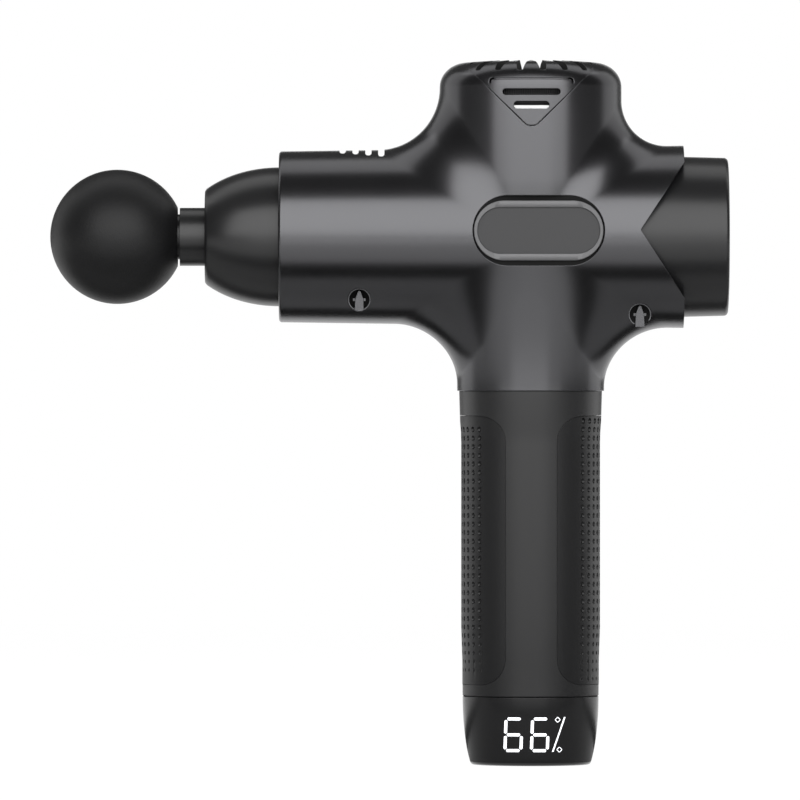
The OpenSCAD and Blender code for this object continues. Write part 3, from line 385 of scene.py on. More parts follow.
grain.links.new(spread.outputs[0], grain_out.inputs["Roughness"])


def finish(name, colour, roughness, metallic=0.0, scale=2500, depth=0.006, edge_mm=0.3, uneven=0.05,
           coat=0.0, specular=0.5):
    """Material of one finish: its colour and gloss, with the moulded grain."""
    mat = bpy.data.materials.new(name)
    mat.use_nodes = True
    tree = mat.node_tree
    shader = tree.nodes["Principled BSDF"]
    shader.inputs["Base Color"].default_value = (*colour, 1)
    shader.inputs["Metallic"].default_value = metallic
    shader.inputs["Specular IOR Level"].default_value = specular
    shader.inputs["Coat Weight"].default_value = coat
    shader.inputs["Coat Roughness"].default_value = 0.08
    skin = tree.nodes.new("ShaderNodeGroup")
    skin.node_tree = grain
    skin.inputs["Grain scale"].default_value = scale
    skin.inputs["Grain depth"].default_value = depth * MM
    skin.inputs["Edge radius"].default_value = edge_mm * MM
    skin.inputs["Roughness"].default_value = roughness
    skin.inputs["Unevenness"].default_value = uneven
    tree.links.new(skin.outputs["Normal"], shader.inputs["Normal"])
    tree.links.new(skin.outputs["Roughness"], shader.inputs["Roughness"])
    return mat


def fit_out(obj, body, material, slot, *nodes):
    """Dresses a finished piece, ties it to its body and hides the nodes it stands for."""
    obj.data.materials.clear()
    obj.data.materials.append(material)
    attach(obj, body)
    if nodes:
        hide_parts(*nodes)


graphite = finish("satin graphite paint", (0.092, 0.092, 0.096), 0.25, metallic=1.0, scale=2600, depth=0.004,
                  edge_mm=0.35)
SEAM = 0.06
right = shell.copy()
right.data = shell.data.copy()
bpy.context.scene.collection.objects.link(right)
box = [(-130, 0), (110, 0), (110, 300), (-130, 300)]
combine(shell, prism("left_space", box, -60, -SEAM), "INTERSECT")
combine(right, prism("right_space", box, SEAM, 60), "INTERSECT")
for half, name in ((shell, "housing_left"), (right, "housing_right")):
    half.name = name + "_skin"
    skin_normals(half)
    fit_out(half, "body", graphite, "shell_graphite", name)

# ---- Nose cone ----
# Moulded nylon cone whose spigot plugs into the barrel's front end; the head's stem runs in its mouth.
# Its lip is rounded.


def smooth_faces(obj, sharp):
    """Smooth shading that breaks at edges sharper than the given degrees."""
    obj.data.shade_smooth()
    obj.data.set_sharp_from_angle(angle=math.radians(sharp))


def turned(name, profile, axis="x", sides=160):
    """Body of revolution from (place along the axis, radius) points, about the barrel or the handle."""
    n = len(profile)
    turns = np.linspace(0, 2 * math.pi, sides, endpoint=False)
    verts = []
    for along, r in profile:
        for t in turns:
            a, b = r * math.cos(t), r * math.sin(t)
            verts.append((along, a, AXIS_H + b) if axis == "x" else (a, b, along))
    faces = []
    for i in range(n):
        k = (i + 1) % n
        for j in range(sides):
            m = (j + 1) % sides
            faces.append((i * sides + j, i * sides + m, k * sides + m, k * sides + j))
    obj = mesh_object(name, verts, faces, merge=0.0005)
    smooth_faces(obj, 32)
    return obj


nylon = finish("satin black nylon", (0.01, 0.01, 0.0105), 0.3, scale=2200, depth=0.006, specular=0.5)
NOSE_R, NOSE_LEN, NOSE_RIM, MOUTH_R = 24.3, 25.9, 16.4, 11.2
NOSE_X = FRONT_X - NOSE_LEN
nose_depth = NOSE_LEN / math.sqrt(1 - (NOSE_RIM / NOSE_R) ** 2)
shoulder = [(FRONT_X - d, NOSE_R * math.sqrt(1 - (d / nose_depth) ** 2))
            for d in np.linspace(NOSE_LEN - 0.6, 0, 40)]
nose_profile = rounded([(NOSE_X, MOUTH_R), (NOSE_X, NOSE_RIM - 0.4), shoulder[0]], [0, 0.5, 0], 5)[:-1]
nose_profile += shoulder + [(FRONT_X, 21.1), (FRONT_X + 2.2, 21.1), (FRONT_X + 2.2, 16.5),
                            (NOSE_X + 5.4, 13.8), (NOSE_X + 2.6, 13.8), (NOSE_X + 2.6, MOUTH_R)]
fit_out(turned("nose_cone_skin", nose_profile), "body", nylon, "nylon_black", "nose_cone")

# ---- Rear cap ----
# Cup of the same nylon in the barrel's rear end, with a V on each side that fills the shells' notch.
# Three holes in its floor let the button and the two keys through.
rear_profile = [(REAR_X - NOTCH_DEPTH - NOTCH_LAP + 1, CAP_R), (REAR_X, CAP_R)]
rear_profile += rounded([(REAR_X, CAP_R), (CAP_X, CAP_R - 0.4), (CAP_X, 23.6)], [0, 1.4, 0])[1:-1]
rear_profile += rounded([(CAP_X, CAP_R - 2), (CAP_X, 23.6), (CAP_X - 1.6, 23.6)], [0, 0.35, 0], 4)[1:]
rear_profile += [(CAP_X - 1.6, 0), (CAP_X - 3.6, 0), (CAP_X - 3.6, CAP_R - CAP_WALL - 0.4),
                 (REAR_X - NOTCH_DEPTH - NOTCH_LAP + 1, CAP_R - CAP_WALL)]
rear_cap = turned("rear_cap_skin", rear_profile)
v_cut = notch_outline(NOTCH_LAP, 0)
tip, high = v_cut[:2]
edge_x = REAR_X - 1
edge_z = (edge_x - tip[0]) * (high[1] - tip[1]) / (high[0] - tip[0])
for s in (-1, 1):
    combine(rear_cap, prism("lap", [(tip[0] - 20, tip[1]), tip, (edge_x, tip[1] + s * edge_z),
                                    (edge_x, tip[1] + s * 60), (tip[0] - 20, tip[1] + s * 60)], -60, 60))
BUTTON_HOLE_R, KEY_HOLE_R, KEY_AWAY = 7.15, 4.15, 14.5
for z, r in ((0, BUTTON_HOLE_R), (KEY_AWAY, KEY_HOLE_R), (-KEY_AWAY, KEY_HOLE_R)):
    hole = turned("hole", [(CAP_X - 8, 0), (CAP_X - 8, r), (CAP_X + 5, r), (CAP_X + 5, 0)], sides=64)
    for v in hole.data.vertices:
        v.co.z += z * MM
    combine(rear_cap, hole)
smooth_faces(rear_cap, 32)
fit_out(rear_cap, "body", nylon, "nylon_black", "rear_cap")

# ---- Foam ball and its stem ----
# Closed-cell foam ball, moulded over a nylon stem that plugs into the plunger and pulls out by hand.
BALL_X, BALL_R = -144.6, 23.5
STEM_R = 10.15
foam = finish("closed-cell foam", (0.006, 0.006, 0.0064), 0.45, scale=1500, depth=0.05, edge_mm=0.2,
              uneven=0.1, specular=0.28)
ball_arc = [(BALL_X - BALL_R * math.cos(t), BALL_R * math.sin(t))
            for t in np.linspace(0, math.pi - math.asin((STEM_R + 0.2) / BALL_R), 90)]
ball_profile = ball_arc + [(ball_arc[-1][0] - 1.2, STEM_R + 0.15), (BALL_X - 6, STEM_R - 2.1),
                           (BALL_X - 6, 0)]
fit_out(turned("ball_head_skin", ball_profile, sides=192), "head", foam, "foam_black", "ball_head")
stem_front, stem_end = BALL_X + BALL_R - 1.6, -79.3
STEM_CORE_R, STEM_BEVEL = 7.9, 1.5
stem_profile = [(stem_front - 20, 0), (stem_front - 20, STEM_CORE_R), (stem_front, STEM_CORE_R),
                (stem_front, STEM_R), (stem_end - STEM_BEVEL, STEM_R), (stem_end, STEM_R - STEM_BEVEL),
                (stem_end, 0)]
stem_finish = finish("satin stem nylon", (0.01, 0.01, 0.0105), 0.32, scale=2200, depth=0.005)
fit_out(turned("head_stem_skin", stem_profile), "head", stem_finish, "nylon_black", "head_stem")

# ---- Badge on each side ----
# Bare oval plate in a flat grey bezel, pressed into a recess of the shell. A thin near-black ring on the
# recess's floor round the bezel is painted shade in the gap.
BEZEL_W, BEZEL_H, BEZEL_OUT, PLATE_W, PLATE_H = 45.0, 20.8, 1.75, 42.4, 16.3
bezel_grey = finish("bezel grey", (0.12, 0.12, 0.123), 0.36, metallic=0.3, scale=1800, depth=0.004,
                    edge_mm=0.15)
badge_grey = finish("badge grey", (0.035, 0.035, 0.0363), 0.42, metallic=0.3, scale=1800, depth=0.004,
                    edge_mm=0.1)
# Near-black for the ring in the badge recess: painted shade
recess_shade_black = finish("painted recess shade", (0.004, 0.004, 0.004), 0.6, scale=1800, depth=0.004, edge_mm=0.1,
                      specular=0.15)


def loft(name, rings):
    """Closed ring through outlines of equal length."""
    n, count = len(rings[0]), len(rings)
    faces = [((i * n + j), (i * n + (j + 1) % n), ((i + 1) % count) * n + (j + 1) % n,
              ((i + 1) % count) * n + j) for i in range(count) for j in range(n)]
    obj = mesh_object(name, [p for ring in rings for p in ring], faces, merge=0.0005)
    smooth_faces(obj, 40)
    return obj


for side, label in ((-1, "left"), (1, "right")):
    rings = []
    for t, out in ((0, 0.01), (0, BEZEL_OUT - 0.15), (0.08, BEZEL_OUT), (0.94, BEZEL_OUT),
                   (1, BEZEL_OUT - 0.1), (1, 0.01)):
        w, h = BEZEL_W - 2.3 * t, BEZEL_H - 4.6 * t
        rings.append([(x, side * (BADGE_FLOOR + out), z) for x, z in oval(BADGE_X, BADGE_Z, w, h, 40)])
    fit_out(loft(label + "_bezel_ring", rings), "body", bezel_grey, "bezel_grey", label + "_bezel")
    plate = prism(label + "_badge_plate", oval(BADGE_X, BADGE_Z, PLATE_W, PLATE_H, 40),
                  *sorted((side * (BADGE_FLOOR + 0.01), side * (BADGE_FLOOR + 0.9))))
    fit_out(plate, "body", badge_grey, "badge_grey", label + "_badge")
    # Near-black ring in the gap round the bezel: painted shade, not a part
    near, far = sorted((side * (BADGE_FLOOR + 0.02), side * (BADGE_FLOOR + 0.4)))
    recess_shade = prism(label + "_badge_recess_shade", oval(BADGE_X, BADGE_Z, BADGE_W - 0.2, BADGE_H - 0.2, 40),
                   near, far)
    combine(recess_shade, prism("opening", oval(BADGE_X, BADGE_Z, BEZEL_W + 0.1, BEZEL_H + 0.1, 40),
                          near - 1, far + 1))
    fit_out(recess_shade, "body", recess_shade_black, "rubber_black")

# ---- Top vent ----
# Insert in the crown of the bulge, painted like the shells: teeth that run out from a dished centre, and an
# arched groove and two slots on each side. Plain white strips in the lower slot are painted light.
TOOTH_TURN, TOOTH_GAP, GAP_FLARE, TOOTH_DEPTH = 15.6, 1.85, 3.1, 4.3
DISH_R, VENT_WALL, CROWN_T = 15.0, 2.4, 5.8
GROOVE_DROP, GROOVE_HALF_W, GROOVE_TURN_R, GROOVE_HALF_T, GROOVE_DEPTH = 7.2, 13.4, 1.0, 0.34, 2.1
SLOTS = ((11.9, 20.2, 2.2), (16.5, 12.4, 2.6))
STRIP_DROP, STRIP_HALF_W, STRIP_H = 17.78, 6.1, 1.15


def plug_profile(inset, drop=0.0):
    """Section of the bulge's top end, grown inwards by inset and lowered by drop."""
    edge = BULGE_EDGE_R - inset
    crown_r = BULGE_R - BULGE_EDGE_R
    return ([(AXIS_H + 20, 0), (AXIS_H + 20, BULGE_R - inset)]
            + [(DOME_Z - drop + (edge - BULGE_CROWN) * math.sin(t), crown_r + edge * math.cos(t))
               for t in np.radians(np.arange(0, 91, 6))]
            + [(DOME_Z - drop + edge - BULGE_CROWN * s * s, crown_r * s)
               for s in (0.85, 0.7, 0.5, 0.3, 0.15, 0)])


def band(points, half):
    """Outline of a thin line of even width along the points."""
    p = np.array(points, float)
    along = np.gradient(p, axis=0)
    along /= np.linalg.norm(along, axis=1, keepdims=True)
    out = np.stack([-along[:, 1], along[:, 0]], 1) * half
    return [tuple(q) for q in p + out] + [tuple(q) for q in (p - out)[::-1]]


vent = turned("top_vent_skin", plug_profile(0), "z", 192)
combine(vent, turned("plug", plug_profile(VENT_WALL, CROWN_T - VENT_WALL), "z", 96))
combine(vent, prism("outline", vent_outline(0.4), -60, 60), "INTERSECT")
tooth_foot = BULGE_TOP - TOOTH_DEPTH
combine(vent, turned("dish", [(tooth_foot, 0), (tooth_foot, DISH_R - 0.5), (tooth_foot + 0.5, DISH_R),
                              (BULGE_TOP + 5, DISH_R), (BULGE_TOP + 5, 0)], "z", 96))
for i in range(16):
    gap = prism("gap", rounded([(-TOOTH_GAP / 2, tooth_foot), (TOOTH_GAP / 2, tooth_foot),
                                (TOOTH_GAP / 2 + GAP_FLARE, BULGE_TOP + 8),
                                (-TOOTH_GAP / 2 - GAP_FLARE, BULGE_TOP + 8)],
                               [0.5, 0.5, 0, 0], 4), -40, 1 - DISH_R)
    turn = (i % 8 - 3.5) * TOOTH_TURN + 180 * (i // 8)
    gap.data.transform(Matrix.Rotation(math.radians(turn), 4, "Z"))
    combine(vent, gap)
groove_z, core_r = BULGE_TOP - GROOVE_DROP, BULGE_R - GROOVE_DEPTH
arch_end = [(GROOVE_HALF_W + GROOVE_TURN_R * math.sin(t),
             groove_z - GROOVE_TURN_R + GROOVE_TURN_R * math.cos(t)) for t in np.linspace(0, math.pi / 2, 7)]
arch_end.append((GROOVE_HALF_W + GROOVE_TURN_R, groove_z - GROOVE_TURN_R - 0.7))
arch = [(-x, z) for x, z in reversed(arch_end)] + arch_end
for side in (-1, 1):
    groove = prism("groove", band(arch, GROOVE_HALF_T), *sorted((side * 20, side * 60)))
    combine(groove, turned("core", [(BULGE_TOP - 14, 0), (BULGE_TOP - 14, core_r), (BULGE_TOP - 3, core_r),
                                    (BULGE_TOP - 3, 0)], "z", 96))
    combine(vent, groove)
for drop, w, h in SLOTS:
    combine(vent, prism("slot", oval(0, BULGE_TOP - drop, w, h, 12), -60, 60))
smooth_faces(vent, 25)
fit_out(vent, "body", graphite, "shell_graphite", "top_vent_cover")
# The sides of the tooth gaps and of the groove are near-black: painted shade in the gaps
gap_shade_black = finish("painted gap shade", (0.004, 0.004, 0.004), 0.6, scale=2200, depth=0.004, edge_mm=0.1,
                   specular=0.2)
vent.data.materials.append(gap_shade_black)
# Faces near the crown that turn away from the dome get the painted gap shade
for face in vent.data.polygons:
    spot = np.array([face.center]) / MM
    if spot[0, 2] > BULGE_TOP - 8 and float(np.dot(dome_normal(spot)[0], face.normal)) < 0.8:
        face.material_index = 1
# White strips in the lower slot: painted light, not a lamp
slot_light_white = finish("painted slot light", (0.85, 0.85, 0.85), 0.4, scale=1500, depth=0.002, edge_mm=0.1)
strip_z = BULGE_TOP - STRIP_DROP
strip_outline = rounded([(-STRIP_HALF_W, strip_z), (STRIP_HALF_W, strip_z),
                         (STRIP_HALF_W, strip_z + STRIP_H), (-STRIP_HALF_W, strip_z + STRIP_H)],
                        [0.9, 0.9, 0, 0], 5)
for side, label in ((-1, "left"), (1, "right")):
    strip = prism("vent_light_strip_" + label, strip_outline,
                  *sorted((side * (BULGE_R - 3.4), side * (BULGE_R - 1.3))))
    fit_out(strip, "body", slot_light_white, "light_white")

# ---- Vent mesh ----
# Wire mesh of darkened steel behind the slots, front and back, welded where the wires cross, with a
# near-black pad behind each: painted shade inside the bulge.


def wrapped_grid(tree, give):
    """Grid wrapped round an upright axis: columns round it, rows up it."""
    n, link = tree.nodes, tree.links.new

    def maths(how, a, b):
        node = n.new("ShaderNodeMath")
        node.operation = how
        for socket, value in zip(node.inputs, (a, b)):
            if isinstance(value, (int, float)):
                socket.default_value = value
            else:
                link(value, socket)
        return node.outputs[0]

    rows_less = maths("SUBTRACT", give.outputs["Rows"], 1)
    cols_less = maths("SUBTRACT", give.outputs["Columns"], 1)
    sheet = n.new("GeometryNodeMeshGrid")
    link(maths("MULTIPLY", cols_less, give.outputs["Column turn"]), sheet.inputs["Size X"])
    link(maths("MULTIPLY", rows_less, give.outputs["Row pitch"]), sheet.inputs["Size Y"])
    link(give.outputs["Columns"], sheet.inputs["Vertices X"])
    link(give.outputs["Rows"], sheet.inputs["Vertices Y"])
    where = n.new("GeometryNodeInputPosition")
    parts = n.new("ShaderNodeSeparateXYZ")
    link(where.outputs[0], parts.inputs[0])
    turn = maths("ADD", parts.outputs[0], give.outputs["Facing"])
    bent = n.new("ShaderNodeCombineXYZ")
    link(maths("MULTIPLY", maths("COSINE", turn, 0), give.outputs["Ring radius"]), bent.inputs[0])
    link(maths("MULTIPLY", maths("SINE", turn, 0), give.outputs["Ring radius"]), bent.inputs[1])
    link(maths("ADD", parts.outputs[1], give.outputs["Middle height"]), bent.inputs[2])
    wrap = n.new("GeometryNodeSetPosition")
    link(sheet.outputs["Mesh"], wrap.inputs["Geometry"])
    link(bent.outputs[0], wrap.inputs["Position"])
    return wrap.outputs[0]


def grid_tree(name, *more):
    """New tree with the inputs of a wrapped grid and the given further ones."""
    tree = bpy.data.node_groups.new(name, "GeometryNodeTree")
    tree.interface.new_socket("Geometry", in_out="INPUT", socket_type="NodeSocketGeometry")
    for label, kind in (("Rows", "NodeSocketInt"), ("Columns", "NodeSocketInt"),
                        ("Row pitch", "NodeSocketFloat"), ("Column turn", "NodeSocketFloat"),
                        ("Ring radius", "NodeSocketFloat"),
                        ("Middle height", "NodeSocketFloat"), ("Facing", "NodeSocketFloat"),
                        *more, ("Finish", "NodeSocketMaterial")):
        tree.interface.new_socket(label, in_out="INPUT", socket_type=kind)
    tree.interface.new_socket("Geometry", in_out="OUTPUT", socket_type="NodeSocketGeometry")
    return tree, tree.nodes.new("NodeGroupInput"), tree.nodes.new("NodeGroupOutput")


def close_tree(tree, give, take, result):
    """Ends a tree: real geometry, in the finish it is given."""
    last = tree.nodes.new("GeometryNodeRealizeInstances")
    tree.links.new(result, last.inputs[0])
    dress = tree.nodes.new("GeometryNodeSetMaterial")
    tree.links.new(last.outputs[0], dress.inputs["Geometry"])
    tree.links.new(give.outputs["Finish"], dress.inputs["Material"])
    tree.links.new(dress.outputs[0], take.inputs[0])


def grown(obj, tree, values):
    """Runs a Geometry Nodes tree on the object and keeps the result as its plain mesh."""
    mod = obj.modifiers.new("grow", "NODES")
    mod.node_group = tree
    ids = {item.name: item.identifier for item in tree.interface.items_tree if item.in_out == "INPUT"}
    for label, value in values.items():
        mod[ids[label]] = value
    bpy.context.view_layer.update()
    mesh = bpy.data.meshes.new_from_object(obj.evaluated_get(bpy.context.evaluated_depsgraph_get()))
    obj.modifiers.clear()
    old, obj.data = obj.data, mesh
    bpy.data.meshes.remove(old)


mesh_steel = finish("darkened mesh steel", (0.05, 0.05, 0.052), 0.4, metallic=1.0, scale=1500, depth=0.001,
                    edge_mm=0.02)
WIRE_R, WIRE_PITCH = 0.14, 0.8
mesh_tree, mesh_give, mesh_take = grid_tree("Wire mesh", ("Wire radius", "NodeSocketFloat"))
line = mesh_tree.nodes.new("GeometryNodeMeshToCurve")
mesh_tree.links.new(wrapped_grid(mesh_tree, mesh_give), line.inputs[0])
ring = mesh_tree.nodes.new("GeometryNodeCurvePrimitiveCircle")
ring.inputs["Resolution"].default_value = 6
mesh_tree.links.new(mesh_give.outputs["Wire radius"], ring.inputs["Radius"])
wires = mesh_tree.nodes.new("GeometryNodeCurveToMesh")
wires.inputs["Fill Caps"].default_value = True
mesh_tree.links.new(line.outputs[0], wires.inputs["Curve"])
mesh_tree.links.new(ring.outputs[0], wires.inputs["Profile Curve"])
close_tree(mesh_tree, mesh_give, mesh_take, wires.outputs[0])
mesh_ring_r = BULGE_R - VENT_WALL - 0.45
for name, facing in (("vent_mesh_left", -math.pi / 2), ("vent_mesh_right", math.pi / 2)):
    net = mesh_object(name, [(0, 0, 0)], [])
    grown(net, mesh_tree, {
        "Rows": 17, "Columns": 35, "Row pitch": WIRE_PITCH * MM, "Column turn": WIRE_PITCH / mesh_ring_r,
        "Ring radius": mesh_ring_r * MM, "Middle height": (BULGE_TOP - 14.0) * MM, "Facing": facing,
        "Wire radius": WIRE_R * MM, "Finish": mesh_steel})
    fit_out(net, "body", mesh_steel, "mesh_steel", "vent_mesh")
# Near-black pads behind the meshes: painted shade inside the bulge
vent_shade_pad = finish("painted vent shade", (0.006, 0.006, 0.006), 0.9, scale=1500, depth=0.02, edge_mm=0.1, specular=0.1)
PAD_T, PAD_HALF_W, PAD_LOW, PAD_HIGH = 0.8, 13, BULGE_TOP - 20, BULGE_TOP - 8.5
pad_r = mesh_ring_r - 0.6
for side, label in ((-1, "left"), (1, "right")):
    pad = turned("vent_shade_pad_" + label, [(PAD_LOW, pad_r - PAD_T), (PAD_LOW, pad_r), (PAD_HIGH, pad_r),
                                        (PAD_HIGH, pad_r - PAD_T)], "z", 96)
    pad_outline = [(-PAD_HALF_W, 200), (PAD_HALF_W, 200), (PAD_HALF_W, 260), (-PAD_HALF_W, 260)]
    combine(pad, prism("pad_outline", pad_outline, *sorted((side * 5, side * 60))), "INTERSECT")
    fit_out(pad, "body", vent_shade_pad, "nylon_black")

# ---- Handle ----
# Nylon tube that the shells' skirt closes on, with a pocket on each side for a rubber grip.
HANDLE_R, NECK_R = 24.3, 25.0
BASE_CAP_H = 24.1
GRIP_T, GRIP_STRIP, GRIP_LOW, GRIP_TOP, GRIP_CORNER = 1.4, 9.0, 28.1, SKIRT_Z - 8.5, 9.0
CELL_R = 9.2
BORE_R = CELL_R * (1 + 2 / math.sqrt(3)) + 1.15
handle_black = finish("handle nylon", (0.01, 0.01, 0.0105), 0.34, scale=2200, depth=0.006)
handle_profile = [(BASE_CAP_H, BORE_R), (BASE_CAP_H, HANDLE_R - 0.7), (BASE_CAP_H + 0.2, HANDLE_R - 0.5),
                  (BASE_CAP_H + 12, HANDLE_R - 0.4), (BASE_CAP_H + 24, HANDLE_R)]
COLLAR_R = SKIRT_R - SHELL_WALL - 0.15
handle_profile += [(GRIP_TOP - 10, HANDLE_R), (GRIP_TOP - 6, HANDLE_R + 0.1), (GRIP_TOP - 2, NECK_R - 0.3),
                   (SKIRT_Z - 0.12, NECK_R), (SKIRT_Z - 0.03, NECK_R - 0.1), (SKIRT_Z - 0.03, COLLAR_R),
                   (SKIRT_Z + 10, COLLAR_R), (SKIRT_Z + 10, BORE_R)]


def grip_outline(side, gap):
    """Rounded panel that wraps round the handle, seen from its open edge."""
    near = GRIP_STRIP + gap
    corners = [(near, GRIP_LOW + gap), (40, GRIP_LOW + gap), (40, GRIP_TOP + 0.4 - gap),
               (near, GRIP_TOP - 0.6 - gap)]
    points = rounded(corners, [GRIP_CORNER - gap, 0, 0, GRIP_CORNER - gap], 10)
    return [(side * x, z) for x, z in points]


handle = turned("handle_tube_skin", handle_profile, "z", 192)
for s in (-1, 1):
    pocket = turned("pocket", [(20, HANDLE_R - GRIP_T), (20, 40), (140, 40), (140, HANDLE_R - GRIP_T)],
                    "z", 192)
    combine(pocket, prism("outline", grip_outline(s, 0), -50, 50), "INTERSECT")
    combine(handle, pocket)
smooth_faces(handle, 25)
fit_out(handle, "body", handle_black, "shell_graphite", "handle_tube")

# ---- Grips ----
# Two soft rubber panels let into the handle, with rows of small round dimples that face forwards and back.
rubber = finish("grip rubber", (0.007, 0.007, 0.0075), 0.36, scale=1600, depth=0.01, edge_mm=0.15,
                specular=0.4)
DIMPLE_PITCH, DIMPLE_TURN, DIMPLE_R, DIMPLE_SINK, DIMPLE_MID_Z = 3.0, 8.5, 1.05, 0.35, 75.2


def dimple_tree():
    """Cuts a grid of dimples into a grip."""
    tree, give, take = grid_tree("Grip dimples", ("Ball radius", "NodeSocketFloat"))
    n, link = tree.nodes, tree.links.new
    ball = n.new("GeometryNodeMeshIcoSphere")
    ball.inputs["Subdivisions"].default_value = 2
    link(give.outputs["Ball radius"], ball.inputs["Radius"])
    spots = n.new("GeometryNodeInstanceOnPoints")
    link(wrapped_grid(tree, give), spots.inputs["Points"])
    link(ball.outputs["Mesh"], spots.inputs["Instance"])
    real = n.new("GeometryNodeRealizeInstances")
    link(spots.outputs[0], real.inputs[0])
    cut = n.new("GeometryNodeMeshBoolean")
    cut.operation, cut.solver = "DIFFERENCE", "MANIFOLD"
    link(give.outputs["Geometry"], cut.inputs["Mesh 1"])
    link(real.outputs[0], cut.inputs["Mesh 2"])
    close_tree(tree, give, take, cut.outputs["Mesh"])
    return tree


dimples = dimple_tree()
grip_back = HANDLE_R - GRIP_T + 0.02
grip_profile = [(20, grip_back), (20, HANDLE_R - 0.4), (BASE_CAP_H + 12, HANDLE_R - 0.4),
                (BASE_CAP_H + 24, HANDLE_R), (GRIP_TOP - 10, HANDLE_R), (GRIP_TOP - 6, HANDLE_R + 0.1),
                (GRIP_TOP - 2, NECK_R - 0.3), (GRIP_TOP + 2, NECK_R - 0.2), (GRIP_TOP + 2, grip_back)]
for side, node, rows in ((-1, "front_grip", 29), (1, "rear_grip", 31)):
    grip = turned(node + "_panel", grip_profile, "z", 192)
    combine(grip, prism("outline", grip_outline(side, 0.08), -50, 50), "INTERSECT")
    grown(grip, dimples, {
        "Rows": rows, "Columns": 11, "Row pitch": DIMPLE_PITCH * MM,
        "Column turn": math.radians(DIMPLE_TURN),
        "Ring radius": (HANDLE_R + DIMPLE_SINK) * MM, "Middle height": DIMPLE_MID_Z * MM,
        "Facing": math.pi if side < 0 else 0.0, "Ball radius": DIMPLE_R * MM, "Finish": rubber})
    smooth_faces(grip, 30)
    fit_out(grip, "body", rubber, "rubber_black", node)

# ---- Base cap ----
# Gloss black cap on the handle's foot, a little narrower at the floor; its collar plugs into the tube.
FOOT_R = 20.7
cap_gloss = finish("display cap gloss", (0.005, 0.005, 0.0055), 0.2, scale=900, depth=0.0005, edge_mm=0.2,
                   uneven=0.02, specular=0.45)


def cap_radius(z):
    return FOOT_R + (HANDLE_R - 0.5 - FOOT_R) * math.sin(math.pi / 2 * min(1, (z / BASE_CAP_H)) ** 0.75)


foot_profile = [(0, FOOT_R - 2), (0, FOOT_R - 0.6), (0.15, FOOT_R - 0.2)]
foot_profile += [(z, cap_radius(z)) for z in np.linspace(0.5, BASE_CAP_H - 0.3, 24)]
foot_profile += [(BASE_CAP_H - 0.05, cap_radius(BASE_CAP_H) - 0.3), (BASE_CAP_H - 0.05, BORE_R - 0.15),
                 (BASE_CAP_H + 5, BORE_R - 0.15), (BASE_CAP_H + 5, BORE_R - 1.75),
                 (BASE_CAP_H - 4, BORE_R - 1.75)]
fit_out(turned("base_cap_skin", foot_profile, "z", 192), "body", cap_gloss, "panel_gloss", "base_cap")

# ---- Display digits ----
# Battery level in lit white bars, let flush into the cap's front: two figures and a percent sign.
digit_light = bpy.data.materials.new("lit display bars")
digit_light.use_nodes = True
glow = digit_light.node_tree.nodes["Principled BSDF"]
glow.inputs["Base Color"].default_value = (0.8, 0.82, 0.85, 1)
glow.inputs["Emission Color"].default_value = (0.95, 0.97, 1.0, 1)
glow.inputs["Emission Strength"].default_value = 1.0
glow.inputs["Roughness"].default_value = 0.35
BAR_HALF, BAR_LEN, DIGIT_W, ROW_Z, DIGIT_LEAN = 0.52, 4.8, 5.55, (5.45, 10.95, 16.5), 0.035
SLASH = [(7.2, 5.0), (7.75, 5.0), (11.95, 17.1), (11.4, 17.1)]
SIGN_RINGS, RING_OUT, RING_IN = ((9.2, 16.2), (9.8, 5.75)), 1.1, 0.75


def lit_bar(x, z, upright):
    """Six-sided bar of a lit figure, pointed at both ends."""
    ends = BAR_LEN / 2 - 0.35
    shape = [(-BAR_LEN / 2, 0), (-ends, -BAR_HALF), (ends, -BAR_HALF), (BAR_LEN / 2, 0),
             (ends, BAR_HALF), (-ends, BAR_HALF)]
    turned_shape = [(-b, a) for a, b in shape] if upright else shape
    return [(x + a + (z + b - ROW_Z[1]) * DIGIT_LEAN, z + b) for a, b in turned_shape]


bars = []
for mid in (-6.2, 3.0):
    low, high = (ROW_Z[0] + ROW_Z[1]) / 2, (ROW_Z[1] + ROW_Z[2]) / 2
    bars += [lit_bar(mid, z, False) for z in ROW_Z]
    bars += [lit_bar(mid - DIGIT_W / 2, low, True), lit_bar(mid + DIGIT_W / 2, low, True),
             lit_bar(mid - DIGIT_W / 2, high, True)]
bars.append(SLASH)
for x, z in SIGN_RINGS:
    for quarter in range(4):
        a, b = ((math.cos(t), math.sin(t)) for t in (math.pi / 2 * quarter, math.pi / 2 * (quarter + 1)))
        bars.append([(x + r * px, z + r * pz)
                     for r, (px, pz) in ((RING_OUT, a), (RING_OUT, b), (RING_IN, b), (RING_IN, a))])
BAR_ROUND = 0.1
skin_ring = [(z, cap_radius(z) + 0.02) for z in np.linspace(1, 22, 40)]
skin_ring += [(z, cap_radius(z) - 0.45) for z in np.linspace(22, 1, 12)]
digits = None
for outline in bars:
    bar = turned("bar", skin_ring, "z", 192)
    combine(bar, prism("bar_outline", rounded(outline, [BAR_ROUND] * len(outline), 2), -40, -5), "INTERSECT")
    digits = bar if digits is None else combine(digits, bar, "UNION")
digits.name = "display_digits_lit"
digits.data.set_sharp_from_angle(angle=math.radians(30))
fit_out(digits, "body", digit_light, "light_white", "display_digits")

